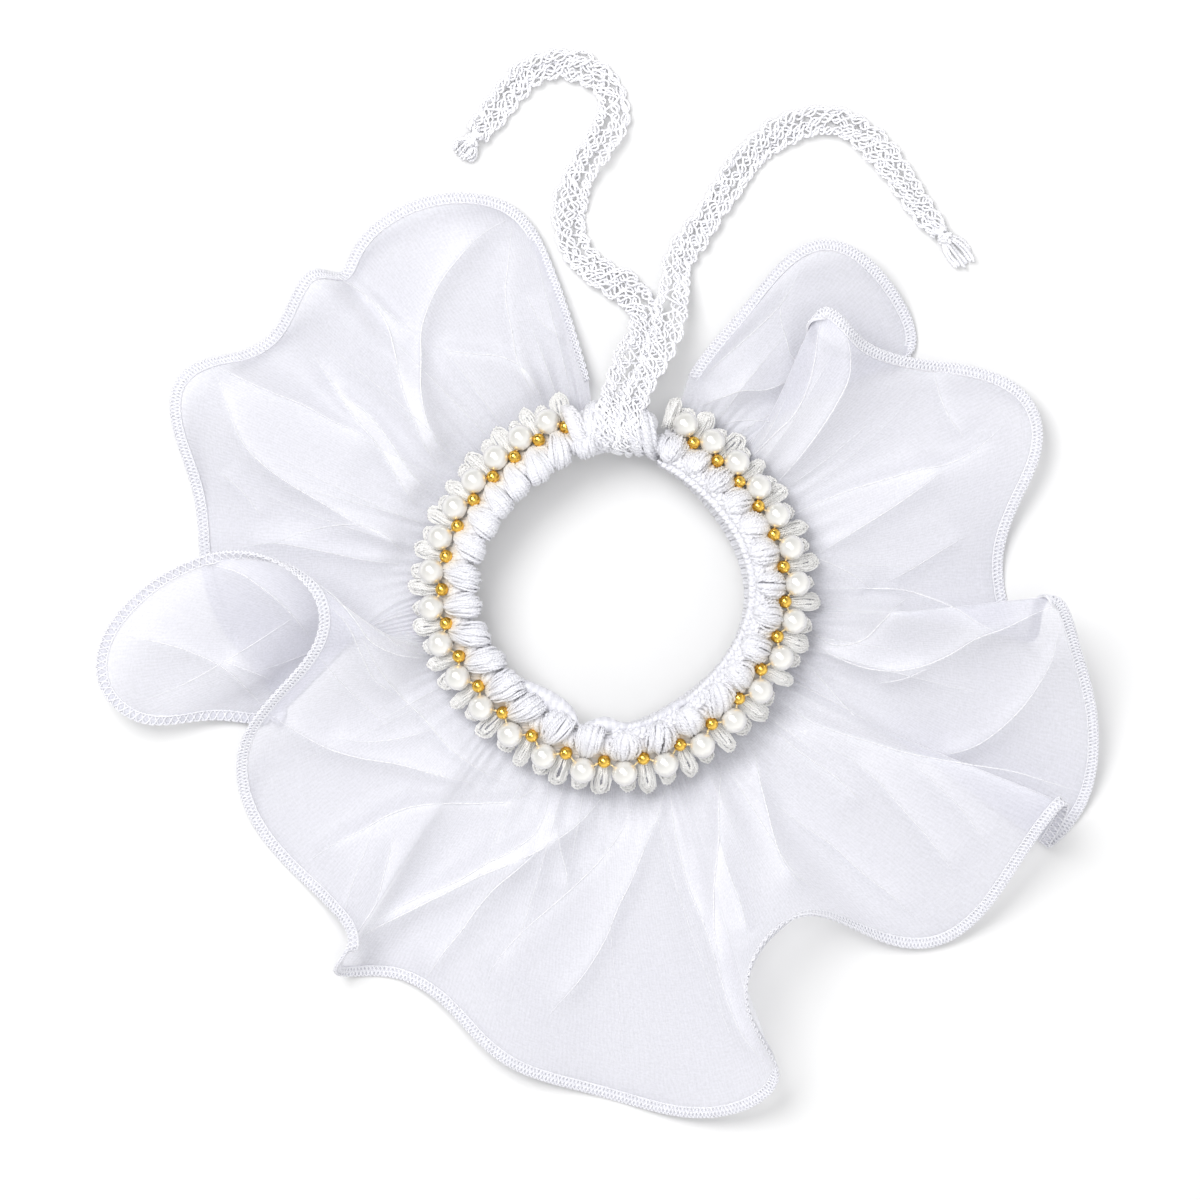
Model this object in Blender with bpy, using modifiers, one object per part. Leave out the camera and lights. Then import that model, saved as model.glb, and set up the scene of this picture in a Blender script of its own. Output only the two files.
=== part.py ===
"""A ruffled collar for a small pet, laid flat: a sheer flounce gathered to a crocheted neck band
that carries pearls and gold beads, closed by two crocheted lace ties.

Metres, +Z up. The collar lies on the plane z = 0 and +Y points to the ties. Sizes below are in
millimetres and become metres where points are made. Angles are in degrees round the neck,
counted from +X towards +Y; past 360 they go on counting, so that the cloth runs one way.
"""

import math
from collections import namedtuple

import bmesh
import bpy
import numpy as np
from mathutils import Vector

MM = 0.001

# The neck ring stands off the centre of the whole collar, because the flounce is uneven.
NECK_X = 4.3
NECK_Y = 20.3
NECK_WAVE = 1.0
NECK_SHIFT = 0.5

# Flounce: one length of organza, its gathered edge under the neck band.
CLOTH_WALL = 1.0
SEAM_RADIUS = 53.0
SEAM_HEIGHT = 2.0
CLOTH_ROWS = 7
ROW_CROWDING = 1.15

# Gathers: small waves at the seam that fade by about a quarter of the way out.
GATHER_COUNT = 50
COLUMNS_PER_GATHER = 4
GATHER_STEEPNESS = 0.16
GATHER_MOST = 1.1
GATHER_REACH = 0.22
GATHER_PHASE = 0.6

# Hem: how far its columns crowd into tight turns, and how many samples round each turn off.
HEM_CROWDING = 0.6
HEM_DENSITY = 4
HEM_SOFTNESS = 13

# Sag of the cloth between seam and hem, as shares of the way out and of the hem's height.
SEAM_PULL = 0.36
SEAM_RISE = 0.2
HEM_PULL = 0.66
HEM_RISE = 0.78
CURL_DROP = 0.4

# Long folds: their profile along the way out, and the reach at which they have full height.
CREASE_POWER = 0.8
CREASE_SPAN = 3.0
CREASE_FULL_REACH = 60.0

# Neck band: a crocheted strip that leans in towards the neck, as a flat cone.
BAND_START = 103.0
BAND_END = 434.0
BAND_TOP_RADIUS = 41.5
BAND_TOP_HEIGHT = 20.0
BAND_SLOPE = 39.0
PEARL_COUNT = 28
BAND_COLUMNS_PER_PEARL = 4

# Beads: pearls and gold beads in turn, the gold ones a little nearer the neck.
PEARL_RADIUS = 4.0
GOLD_RADIUS = 2.0
FIRST_PEARL = 111.0
PEARL_PITCH = 11.67
PEARL_SPREAD = 6.5
WIDEST_GAP = 13.9
PEARL_SEAT = 13.6
GOLD_SEAT = 10.5
SEAT_HEIGHT = 1.3
PEARL_PROFILE = [(-0.95, 0.28), (-0.55, 0.84), (0.0, 1.0), (0.55, 0.84), (0.95, 0.28)]
THREAD_RADIUS = 0.5
THREAD_BOW = 1.6
FIT_GAP = 0.3

# Ties: crocheted lace tape, 10 mm wide, with a knot at the free end.
TIE_WIDTH = 10.0
TIE_WALL = 3.2
TIE_POINTS = 32
END_KNOT_RADIUS = 3.2
TAIL_RADIUS = 2.2
TAIL_LENGTH = 14.0
TAIL_PROFILE = [(0.0, 0.45), (0.2, 0.6), (0.5, 0.75), (0.8, 0.95), (1.0, 1.0)]

# Neck knot: the ties wrapped over the gap between the two ends of the band.
KNOT_RADIUS = 8.4
KNOT_HEIGHT = 14.2
KNOT_RING = 50.5

Section = namedtuple("Section", "root angle reach lift curl")
Crease = namedtuple("Crease", "root width start stop height")
Rim = namedtuple("Rim", "along out puff picot")
Way = namedtuple("Way", "x y z turn")

# The flounce in sections, in order along the cloth: the angle where a section leaves the seam,
# then the angle, distance and height of its hem, and how far it bulges past a hem that rolls in.
SECTIONS = [
    Section(root=96.0, angle=95.8, reach=61.7, lift=6.0, curl=0),
    Section(root=98.0, angle=98.6, reach=84.0, lift=5.0, curl=0),
    Section(root=100.0, angle=101.1, reach=108.0, lift=3.0, curl=0),
    Section(root=102.0, angle=103.0, reach=120.5, lift=3.0, curl=0),
    Section(root=106.0, angle=108.0, reach=129.0, lift=6.0, curl=0),
    Section(root=112.0, angle=116.0, reach=135.0, lift=9.0, curl=0),
    Section(root=119.0, angle=123.3, reach=135.4, lift=7.0, curl=0),
    Section(root=126.0, angle=128.6, reach=131.5, lift=3.0, curl=0),
    # small lobe over the upper left
    Section(root=131.0, angle=131.0, reach=127.0, lift=1.0, curl=0),
    Section(root=134.0, angle=132.2, reach=136.0, lift=14.0, curl=0),
    Section(root=137.0, angle=135.4, reach=136.0, lift=15.0, curl=0),
    Section(root=141.0, angle=140.0, reach=132.0, lift=7.0, curl=0),
    Section(root=145.0, angle=145.5, reach=132.5, lift=1.0, curl=0),
    # upper left lobe
    Section(root=149.0, angle=149.5, reach=142.0, lift=8.0, curl=0),
    Section(root=153.0, angle=153.0, reach=150.0, lift=14.0, curl=0),
    Section(root=158.0, angle=158.0, reach=148.0, lift=12.0, curl=0),
    Section(root=163.0, angle=163.5, reach=137.5, lift=4.0, curl=0),
    Section(root=168.0, angle=169.7, reach=130.0, lift=0.0, curl=0),
    Section(root=173.0, angle=177.0, reach=128.0, lift=0.0, curl=0),
    Section(root=176.5, angle=187.0, reach=121.0, lift=0.0, curl=0),
    # left lobe, which turns back under itself and folds over the top
    Section(root=179.3, angle=193.0, reach=116.0, lift=0.0, curl=0),
    Section(root=182.0, angle=197.8, reach=121.5, lift=1.5, curl=0),
    Section(root=185.0, angle=196.8, reach=133.0, lift=4.0, curl=0),
    Section(root=187.5, angle=197.0, reach=147.0, lift=7.5, curl=0),
    Section(root=189.5, angle=193.0, reach=159.5, lift=13.0, curl=0),
    Section(root=191.3, angle=187.7, reach=161.5, lift=18.0, curl=0),
    Section(root=193.0, angle=181.5, reach=150.0, lift=22.0, curl=0),
    Section(root=194.7, angle=176.0, reach=130.5, lift=27.0, curl=0),
    Section(root=196.4, angle=173.6, reach=114.0, lift=31.5, curl=0),
    Section(root=198.2, angle=177.5, reach=94.5, lift=33.0, curl=0),
    Section(root=200.2, angle=186.4, reach=88.0, lift=30.0, curl=0),
    Section(root=202.5, angle=195.0, reach=101.5, lift=23.0, curl=0),
    Section(root=205.0, angle=200.5, reach=121.0, lift=14.0, curl=0),
    # lower left lobe
    Section(root=209.0, angle=207.0, reach=131.0, lift=5.0, curl=0),
    Section(root=215.0, angle=216.3, reach=133.5, lift=1.0, curl=0),
    Section(root=221.0, angle=224.5, reach=131.5, lift=2.0, curl=0),
    Section(root=226.0, angle=230.5, reach=132.0, lift=10.0, curl=0),
    Section(root=229.0, angle=233.8, reach=134.5, lift=15.0, curl=0),
    Section(root=231.0, angle=233.6, reach=142.5, lift=13.0, curl=0),
    Section(root=233.5, angle=234.2, reach=148.5, lift=4.0, curl=0),
    # bottom lobe
    Section(root=238.0, angle=238.5, reach=139.0, lift=0.0, curl=0),
    Section(root=244.0, angle=244.5, reach=136.0, lift=3.0, curl=0),
    Section(root=250.0, angle=250.6, reach=141.5, lift=7.0, curl=0),
    Section(root=256.0, angle=256.5, reach=150.5, lift=8.0, curl=0),
    Section(root=262.0, angle=263.4, reach=154.0, lift=4.0, curl=0),
    Section(root=268.0, angle=270.0, reach=157.5, lift=0.0, curl=0),
    Section(root=275.0, angle=277.5, reach=165.0, lift=4.0, curl=0),
    Section(root=281.0, angle=284.0, reach=166.5, lift=8.0, curl=0),
    Section(root=285.0, angle=288.2, reach=162.5, lift=13.0, curl=0),
    # the hem rolls up and in
    Section(root=287.5, angle=289.4, reach=156.0, lift=18.0, curl=4),
    Section(root=290.0, angle=287.4, reach=139.5, lift=27.0, curl=20),
    Section(root=293.0, angle=289.5, reach=122.5, lift=31.0, curl=32),
    Section(root=296.0, angle=296.0, reach=114.0, lift=30.0, curl=34),
    Section(root=299.0, angle=302.5, reach=117.0, lift=20.0, curl=18),
    Section(root=303.0, angle=306.5, reach=133.5, lift=7.0, curl=0),
    # lower right lobe, its top end over the right lobe
    Section(root=308.0, angle=311.5, reach=150.0, lift=1.0, curl=0),
    Section(root=316.0, angle=319.5, reach=153.0, lift=7.0, curl=0),
    Section(root=324.0, angle=327.0, reach=151.0, lift=15.0, curl=0),
    Section(root=331.0, angle=336.5, reach=154.5, lift=24.0, curl=0),
    Section(root=333.5, angle=331.5, reach=157.0, lift=11.0, curl=0),
    Section(root=335.5, angle=328.3, reach=156.0, lift=1.0, curl=0),
    Section(root=338.0, angle=333.0, reach=161.5, lift=0.0, curl=0),
    # right lobe
    Section(root=341.0, angle=340.0, reach=160.0, lift=6.0, curl=0),
    Section(root=345.0, angle=348.0, reach=152.0, lift=13.0, curl=0),
    Section(root=349.0, angle=354.5, reach=142.5, lift=25.0, curl=0),
    Section(root=351.5, angle=358.6, reach=139.0, lift=33.0, curl=0),
    Section(root=353.0, angle=359.8, reach=134.0, lift=32.0, curl=0),
    Section(root=354.7, angle=356.0, reach=132.0, lift=20.0, curl=0),
    Section(root=356.4, angle=352.6, reach=132.0, lift=7.0, curl=0),
    Section(root=358.4, angle=353.8, reach=126.5, lift=0.0, curl=0),
    Section(root=361.5, angle=359.5, reach=121.5, lift=0.0, curl=0),
    # upper right lobe
    Section(root=366.0, angle=367.0, reach=121.5, lift=3.0, curl=0),
    Section(root=372.0, angle=374.5, reach=133.5, lift=7.0, curl=0),
    Section(root=378.0, angle=380.5, reach=143.5, lift=9.0, curl=0),
    Section(root=385.0, angle=387.5, reach=141.0, lift=8.0, curl=0),
    Section(root=391.0, angle=394.5, reach=124.0, lift=10.0, curl=0),
    Section(root=397.0, angle=402.0, reach=109.5, lift=18.0, curl=0),
    Section(root=401.0, angle=408.5, reach=108.5, lift=26.0, curl=0),
    Section(root=403.4, angle=413.4, reach=110.5, lift=32.5, curl=0),
    Section(root=405.3, angle=413.8, reach=102.0, lift=27.0, curl=0),
    Section(root=406.8, angle=408.2, reach=100.5, lift=16.0, curl=0),
    Section(root=408.4, angle=401.0, reach=110.0, lift=6.0, curl=0),
    # top lobe, and the short end of the cloth
    Section(root=410.5, angle=397.4, reach=117.0, lift=2.0, curl=0),
    Section(root=412.8, angle=399.6, reach=123.5, lift=0.0, curl=0),
    Section(root=415.5, angle=406.0, reach=127.5, lift=5.0, curl=0),
    Section(root=419.0, angle=416.5, reach=130.0, lift=13.0, curl=0),
    Section(root=422.0, angle=421.7, reach=122.0, lift=11.0, curl=0),
    Section(root=425.0, angle=424.5, reach=98.5, lift=6.0, curl=0),
    Section(root=428.0, angle=428.5, reach=81.0, lift=4.0, curl=0),
    Section(root=430.0, angle=430.8, reach=68.0, lift=3.0, curl=0),
]

# The longest folds inside the flounce: where each leaves the seam, its width there, the shares
# of the way to the hem where it starts and stops, and its height, less than 0 for a trough.
CREASES = [
    Crease(root=108.0, width=3.0, start=0.10, stop=0.75, height=5.0),
    Crease(root=116.0, width=3.5, start=0.12, stop=0.95, height=-4.0),
    Crease(root=122.0, width=2.5, start=0.10, stop=0.70, height=5.5),
    Crease(root=140.0, width=3.0, start=0.10, stop=0.80, height=4.0),
    Crease(root=153.0, width=3.0, start=0.12, stop=0.95, height=5.0),
    Crease(root=162.0, width=3.5, start=0.10, stop=0.70, height=4.5),
    Crease(root=171.0, width=3.0, start=0.10, stop=0.75, height=6.0),
    Crease(root=207.0, width=3.5, start=0.10, stop=0.80, height=6.0),
    Crease(root=217.0, width=3.0, start=0.10, stop=0.85, height=4.0),
    Crease(root=226.0, width=3.0, start=0.10, stop=0.90, height=6.5),
    Crease(root=237.0, width=3.5, start=0.10, stop=0.85, height=7.0),
    Crease(root=247.0, width=3.0, start=0.10, stop=0.70, height=6.0),
    Crease(root=257.0, width=3.0, start=0.10, stop=0.80, height=5.0),
    Crease(root=268.0, width=3.5, start=0.10, stop=0.65, height=5.5),
    Crease(root=278.0, width=3.0, start=0.10, stop=0.85, height=6.0),
    Crease(root=309.0, width=3.5, start=0.10, stop=0.80, height=6.0),
    Crease(root=320.0, width=3.5, start=0.10, stop=0.85, height=6.0),
    Crease(root=343.0, width=3.0, start=0.10, stop=0.65, height=5.0),
    Crease(root=368.0, width=3.5, start=0.10, stop=0.80, height=4.5),
    Crease(root=380.0, width=3.5, start=0.12, stop=0.90, height=5.0),
    Crease(root=392.0, width=3.0, start=0.10, stop=0.70, height=5.0),
    Crease(root=419.0, width=2.5, start=0.10, stop=0.75, height=4.0),
]

# The neck band's outer side from the neck edge down, then its foot and its inner side back up:
# how far along the slope a ring of points lies, how far out of the wall's middle, and how much
# each puff or picot raises it.
BAND_RIMS = [
    Rim(along=0.0, out=0.9, puff=0.3, picot=0.0),
    Rim(along=2.0, out=1.4, puff=1.6, picot=0.0),
    Rim(along=5.0, out=1.4, puff=3.4, picot=0.0),
    Rim(along=8.0, out=1.3, puff=2.6, picot=0.0),
    Rim(along=10.0, out=1.2, puff=0.4, picot=0.0),
    Rim(along=12.5, out=1.2, puff=0.0, picot=0.0),
    Rim(along=16.5, out=1.2, puff=0.0, picot=0.4),
    Rim(along=19.0, out=1.2, puff=0.0, picot=1.5),
]
BAND_FOOT_ALONG = 20.0
BAND_FOOT_OUT = 0.7
PICOT_LENGTH = 4.0
BAND_INNER_SIDE = [
    Rim(along=18.0, out=-1.2, puff=0.0, picot=0.0),
    Rim(along=9.0, out=-1.2, puff=0.0, picot=0.0),
    Rim(along=0.0, out=-0.8, puff=0.0, picot=0.0),
]

# The neck knot from one end to the other: the angle, and the share of the full radius.
KNOT_STEPS = [
    (102.6, 0.55),
    (101.5, 0.84),
    (98.8, 0.95),
    (95.8, 0.86),
    (92.5, 1.00),
    (89.0, 1.00),
    (85.6, 0.87),
    (82.4, 0.97),
    (79.0, 0.95),
    (75.5, 0.84),
    (74.4, 0.55),
]

# The ties from the knot to their free ends, each at its middle; turn is the tape's roll.
LEFT_TIE = [
    Way(x=-6.5, y=60.85, z=13.0, turn=0.0),
    Way(x=-2.0, y=71.0, z=8.6, turn=0.0),
    Way(x=2.5, y=80.0, z=4.6, turn=0.0),
    Way(x=5.5, y=88.0, z=2.6, turn=0.0),
    Way(x=3.0, y=93.5, z=2.2, turn=0.0),
    Way(x=-5.0, y=97.0, z=2.6, turn=10.0),
    Way(x=-11.0, y=105.0, z=2.4, turn=0.0),
    Way(x=-13.5, y=114.0, z=2.8, turn=15.0),
    Way(x=-11.5, y=126.0, z=2.6, turn=0.0),
    Way(x=-5.0, y=136.5, z=3.0, turn=-15.0),
    Way(x=0.5, y=147.0, z=2.8, turn=0.0),
    Way(x=-2.5, y=157.0, z=2.6, turn=10.0),
    Way(x=-14.0, y=163.0, z=2.4, turn=0.0),
    Way(x=-25.0, y=160.5, z=2.6, turn=0.0),
    Way(x=-33.0, y=152.5, z=2.6, turn=-10.0),
    Way(x=-40.4, y=143.0, z=2.6, turn=0.0),
]
RIGHT_TIE = [
    Way(x=5.0, y=59.8, z=17.8, turn=0.0),
    Way(x=11.0, y=72.0, z=14.0, turn=0.0),
    Way(x=15.5, y=83.0, z=9.6, turn=0.0),
    Way(x=18.0, y=93.0, z=6.6, turn=0.0),
    Way(x=20.5, y=102.0, z=3.6, turn=10.0),
    Way(x=27.0, y=111.5, z=3.0, turn=0.0),
    Way(x=34.0, y=122.0, z=2.8, turn=0.0),
    Way(x=44.0, y=136.0, z=2.6, turn=10.0),
    Way(x=56.0, y=143.5, z=2.6, turn=0.0),
    Way(x=69.0, y=145.5, z=2.6, turn=0.0),
    Way(x=81.0, y=138.0, z=2.8, turn=-10.0),
    Way(x=90.0, y=126.5, z=2.6, turn=0.0),
    Way(x=96.0, y=117.6, z=2.4, turn=0.0),
    Way(x=100.0, y=112.8, z=2.6, turn=0.0),
]

WHITE_ORGANZA = ("organza", (0.90, 0.90, 0.95), 0.45, 0.0)
WHITE_YARN = ("crochet_yarn", (0.93, 0.93, 0.96), 0.70, 0.0)
PEARL = ("pearl", (0.95, 0.93, 0.88), 0.18, 0.0)
GOLD = ("gold_bead", (0.83, 0.58, 0.14), 0.20, 1.0)


def clear_scene():
    """Removes what the startup scene holds."""
    for thing in list(bpy.data.objects):
        bpy.data.objects.remove(thing)


def material(finish):
    """The material of one finish: its name, colour, roughness and metallic value."""
    name, colour, roughness, metallic = finish
    found = bpy.data.materials.get(name)
    if found:
        return found
    made = bpy.data.materials.new(name)
    made.use_nodes = True
    shader = made.node_tree.nodes["Principled BSDF"]
    shader.inputs["Base Color"].default_value = (*colour, 1.0)
    shader.inputs["Roughness"].default_value = roughness
    shader.inputs["Metallic"].default_value = metallic
    return made


def place(name, data, finish, parent, collection):
    """Puts mesh or curve data in the scene as a named piece of the collar."""
    piece = bpy.data.objects.new(name, data)
    piece.data.materials.append(material(finish))
    piece.parent = parent
    collection.objects.link(piece)
    return piece


def neck_offset(angle):
    """How far the soft, slightly square neck stands off a true circle at an angle."""
    turn = math.radians(angle)
    return NECK_WAVE * math.cos(4 * turn) + NECK_SHIFT * math.cos(turn)


def polar(angle, radius, height):
    """The point at an angle, distance and height from the neck's middle, in metres."""
    turn = math.radians(angle)
    return Vector((radius * math.cos(turn), radius * math.sin(turn), height)) * MM


def smooth_through(rows, count, crowding=0.0):
    """count rows of numbers along a smooth curve through the given rows.

    They lie evenly apart with no crowding, and evenly by the given rows with a crowding of 1.
    """
    rows = np.array(rows, float)
    steps = np.linalg.norm(np.diff(rows[:, :3], axis=0), axis=1)
    knots = np.concatenate([[0.0], np.cumsum(steps)])
    slopes = np.gradient(rows, knots, axis=0)
    fine = np.linspace(0.0, knots[-1], 20 * count)
    at = np.clip(np.searchsorted(knots, fine, side="right") - 1, 0, len(rows) - 2)
    span = (knots[at + 1] - knots[at])[:, None]
    t = (fine[:, None] - knots[at][:, None]) / span
    curve = (
        (2 * t**3 - 3 * t**2 + 1) * rows[at]
        + (t**3 - 2 * t**2 + t) * span * slopes[at]
        + (3 * t**2 - 2 * t**3) * rows[at + 1]
        + (t**3 - t**2) * span * slopes[at + 1]
    )
    lengths = np.linalg.norm(np.diff(curve[:, :3], axis=0), axis=1)
    along = np.concatenate([[0.0], np.cumsum(lengths)])
    by_row = np.interp(fine, knots, np.arange(len(rows)) / (len(rows) - 1))
    place_along = (1.0 - crowding) * along / along[-1] + crowding * by_row
    even = np.linspace(0.0, 1.0, count)
    columns = [np.interp(even, place_along, curve[:, k]) for k in range(rows.shape[1])]
    return np.stack(columns, axis=1)


def hem_rows(count):
    """The hem's points with each one's seam angle and curl, closer together in tight turns."""
    rows = []
    for section in SECTIONS:
        point = polar(section.angle, section.reach, section.lift) / MM
        rows.append([*point, section.root, section.curl])
    dense = smooth_through(rows, HEM_DENSITY * (count - 1) + 1, HEM_CROWDING)
    side = HEM_SOFTNESS // 2
    padded = np.pad(dense, ((side, side), (0, 0)), mode="edge")
    kernel = np.ones(HEM_SOFTNESS) / HEM_SOFTNESS
    soft = [np.convolve(padded[:, k], kernel, "valid") for k in range(dense.shape[1])]
    return np.stack(soft, axis=1)[::HEM_DENSITY]


def crease_height(root, share):
    """What the long folds add to the cloth's height at a seam angle and share of the way out."""
    height = 0.0
    for crease in CREASES:
        across = (root - crease.root) / crease.width
        along = (share - crease.start) / (crease.stop - crease.start)
        if abs(across) < CREASE_SPAN and 0.0 < along < 1.0:
            profile = math.sin(math.pi * along) ** CREASE_POWER
            height += crease.height * math.exp(-across * across) * profile
    return height


def cloth_point(hem, share, gather):
    """One point of the flounce's middle surface: share 0 is the seam and 1 the hem."""
    root, curl = hem[3], hem[4]
    end = Vector(hem[:3])
    radius = SEAM_RADIUS + neck_offset(root)
    start = polar(root, radius, SEAM_HEIGHT) / MM
    outward = Vector((math.cos(math.radians(root)), math.sin(math.radians(root)), 0.0))
    reach = (end - start).to_2d().length
    first = start + outward * SEAM_PULL * reach
    first.z = SEAM_HEIGHT / 2 + end.z * SEAM_RISE
    hem_out = Vector((end.x, end.y, 0.0)).normalized()
    second = start.lerp(end, HEM_PULL) + hem_out * curl
    second.z = end.z * HEM_RISE - curl * CURL_DROP
    rest = 1.0 - share
    point = (
        start * rest**3
        + first * 3 * rest**2 * share
        + second * 3 * rest * share**2
        + end * share**3
    )
    fold = crease_height(root, share) * min(1.0, reach / CREASE_FULL_REACH)
    point.z += gather * math.exp(-((share / GATHER_REACH) ** 2)) + fold
    point.z = max(point.z, CLOTH_WALL / 2)
    return point * MM


def build_ruffle(parent, collection):
    """The flounce: an open lofted sheet from the seam to the hem, given its wall by Solidify."""
    count = GATHER_COUNT * COLUMNS_PER_GATHER + 1
    hems = hem_rows(count)
    pitch = np.gradient(hems[:, 3]) * COLUMNS_PER_GATHER * math.radians(1.0) * SEAM_RADIUS
    shares = np.linspace(0.0, 1.0, CLOTH_ROWS + 1) ** ROW_CROWDING
    shell = bmesh.new()
    grid = []
    for column, hem in enumerate(hems):
        depth = min(GATHER_MOST, GATHER_STEEPNESS * abs(pitch[column]))
        wave = depth * math.cos(2 * math.pi * column / COLUMNS_PER_GATHER + GATHER_PHASE)
        grid.append([shell.verts.new(cloth_point(hem, share, wave)) for share in shares])
    for left, right in zip(grid, grid[1:]):
        for row in range(CLOTH_ROWS):
            shell.faces.new((left[row], left[row + 1], right[row + 1], right[row]))
    mesh = bpy.data.meshes.new("ruffle")
    shell.to_mesh(mesh)
    shell.free()
    mesh.shade_smooth()
    ruffle = place("ruffle", mesh, WHITE_ORGANZA, parent, collection)
    wall = ruffle.modifiers.new("wall", "SOLIDIFY")
    wall.thickness = CLOTH_WALL * MM
    wall.offset = 0.0
    return ruffle


def band_point(angle, along, out):
    """A point of the neck band, by its place along the band's slope and out of its middle."""
    slope = math.radians(BAND_SLOPE)
    radius = BAND_TOP_RADIUS + neck_offset(angle)
    radius += along * math.cos(slope) + out * math.sin(slope)
    height = BAND_TOP_HEIGHT - along * math.sin(slope) + out * math.cos(slope)
    return polar(angle, radius, height)


def pearl_spread(number):
    """How far a pearl stands off an even pitch, in degrees: wider apart at the front."""
    return PEARL_SPREAD * math.sin(2 * math.pi * (number - WIDEST_GAP) / (PEARL_COUNT - 1))


def pearl_angle(number):
    """The angle of a pearl, or between two of them."""
    return FIRST_PEARL + PEARL_PITCH * number + pearl_spread(number) - pearl_spread(0)


def band_angles():
    """The angles of the band's columns, a fixed number to each pearl, and each one's bump."""
    columns = []
    steps = BAND_COLUMNS_PER_PEARL
    for column in range(-steps + 1, PEARL_COUNT * steps):
        number = column / steps
        angle = pearl_angle(number)
        if BAND_START < angle < BAND_END:
            columns.append((angle, 0.5 + 0.5 * math.cos(2 * math.pi * number)))
    return [(BAND_START, 0.5), *columns, (BAND_END, 0.5)]


def build_band(parent, collection):
    """The neck band: one closed ring of sections whose outer points carry puffs and picots."""
    shell = bmesh.new()
    rings = []
    for angle, bump in band_angles():
        outer = [
            band_point(angle, rim.along, rim.out + rim.puff * bump + rim.picot * (1 - bump))
            for rim in BAND_RIMS
        ]
        foot = BAND_FOOT_ALONG + PICOT_LENGTH * (1 - bump)
        feet = [band_point(angle, foot, BAND_FOOT_OUT), band_point(angle, foot, -BAND_FOOT_OUT)]
        inner = [band_point(angle, rim.along, rim.out) for rim in BAND_INNER_SIDE]
        rings.append([shell.verts.new(point) for point in outer + feet + inner])
    size = len(rings[0])
    for left, right in zip(rings, rings[1:]):
        for k in range(size):
            after = (k + 1) % size
            shell.faces.new((left[k], right[k], right[after], left[after]))
    shell.faces.new(rings[0])
    shell.faces.new(rings[-1])
    bmesh.ops.recalc_face_normals(shell, faces=shell.faces)
    mesh = bpy.data.meshes.new("neck_band")
    shell.to_mesh(mesh)
    shell.free()
    return place("neck_band", mesh, WHITE_YARN, parent, collection)


def poly_curve(name, points, radii, tilts, depth, extrude, resolution):
    """A poly curve with filled caps, as a tube or, with extrude, as a tape."""
    curve = bpy.data.curves.new(name, "CURVE")
    curve.dimensions = "3D"
    curve.twist_mode = "Z_UP"
    curve.bevel_depth = depth * MM
    curve.extrude = extrude * MM
    curve.bevel_resolution = resolution
    curve.use_fill_caps = True
    line = curve.splines.new("POLY")
    line.points.add(len(points) - 1)
    for spot, point, radius, tilt in zip(line.points, points, radii, tilts):
        spot.co = (*point, 1.0)
        spot.radius = radius
        spot.tilt = tilt
    return curve


def build_pearls(parent, collection):
    """The pearls on their thread: a tube that swells to a ball at each pearl."""
    out = SEAT_HEIGHT + FIT_GAP + PEARL_RADIUS
    points, radii = [], []
    for number in range(PEARL_COUNT):
        angle = pearl_angle(number)
        middle = band_point(angle, PEARL_SEAT, out)
        turn = math.radians(angle)
        ahead = Vector((-math.sin(turn), math.cos(turn), 0.0))
        for along, radius in PEARL_PROFILE:
            points.append(middle + ahead * along * PEARL_RADIUS * MM)
            radii.append(radius)
        if number < PEARL_COUNT - 1:
            between = (angle + pearl_angle(number + 1)) / 2
            points.append(band_point(between, PEARL_SEAT + THREAD_BOW, out))
            radii.append(THREAD_RADIUS / PEARL_RADIUS)
    flat = [0.0] * len(points)
    curve = poly_curve("pearl_strand", points, radii, flat, PEARL_RADIUS, 0.0, 2)
    return place("pearl_strand", curve, PEARL, parent, collection)


def build_gold_beads(parent, collection):
    """One gold bead before each pearl, nearer the neck."""
    shell = bmesh.new()
    bmesh.ops.create_uvsphere(shell, u_segments=6, v_segments=4, radius=GOLD_RADIUS * MM)
    mesh = bpy.data.meshes.new("gold_bead")
    shell.to_mesh(mesh)
    shell.free()
    mesh.shade_smooth()
    mesh.materials.append(material(GOLD))
    for number in range(PEARL_COUNT):
        angle = pearl_angle(number - 0.5)
        bead = bpy.data.objects.new(f"gold_bead_{number + 1:02d}", mesh)
        bead.location = band_point(angle, GOLD_SEAT, SEAT_HEIGHT + FIT_GAP + GOLD_RADIUS)
        bead.parent = parent
        collection.objects.link(bead)


def build_tie(name, ways, parent, collection):
    """A lace tie: a tape of stadium section along its route."""
    rows = smooth_through([[w.x, w.y, w.z, w.turn] for w in ways], TIE_POINTS)
    points = [Vector(row[:3]) * MM for row in rows]
    tilts = [math.radians(90.0 + row[3]) for row in rows]
    ones = [1.0] * TIE_POINTS
    depth = TIE_WALL / 2
    curve = poly_curve(name, points, ones, tilts, depth, TIE_WIDTH / 2 - depth, 1)
    return place(name, curve, WHITE_YARN, parent, collection)


def build_knot(parent, collection):
    """The neck knot: a tube with three swellings, lying in the gap of the band."""
    points = [polar(angle, KNOT_RING, KNOT_HEIGHT) for angle, _ in KNOT_STEPS]
    radii = [share for _, share in KNOT_STEPS]
    flat = [0.0] * len(points)
    curve = poly_curve("tie_knot", points, radii, flat, KNOT_RADIUS, 0.0, 4)
    return place("tie_knot", curve, WHITE_YARN, parent, collection)


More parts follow.
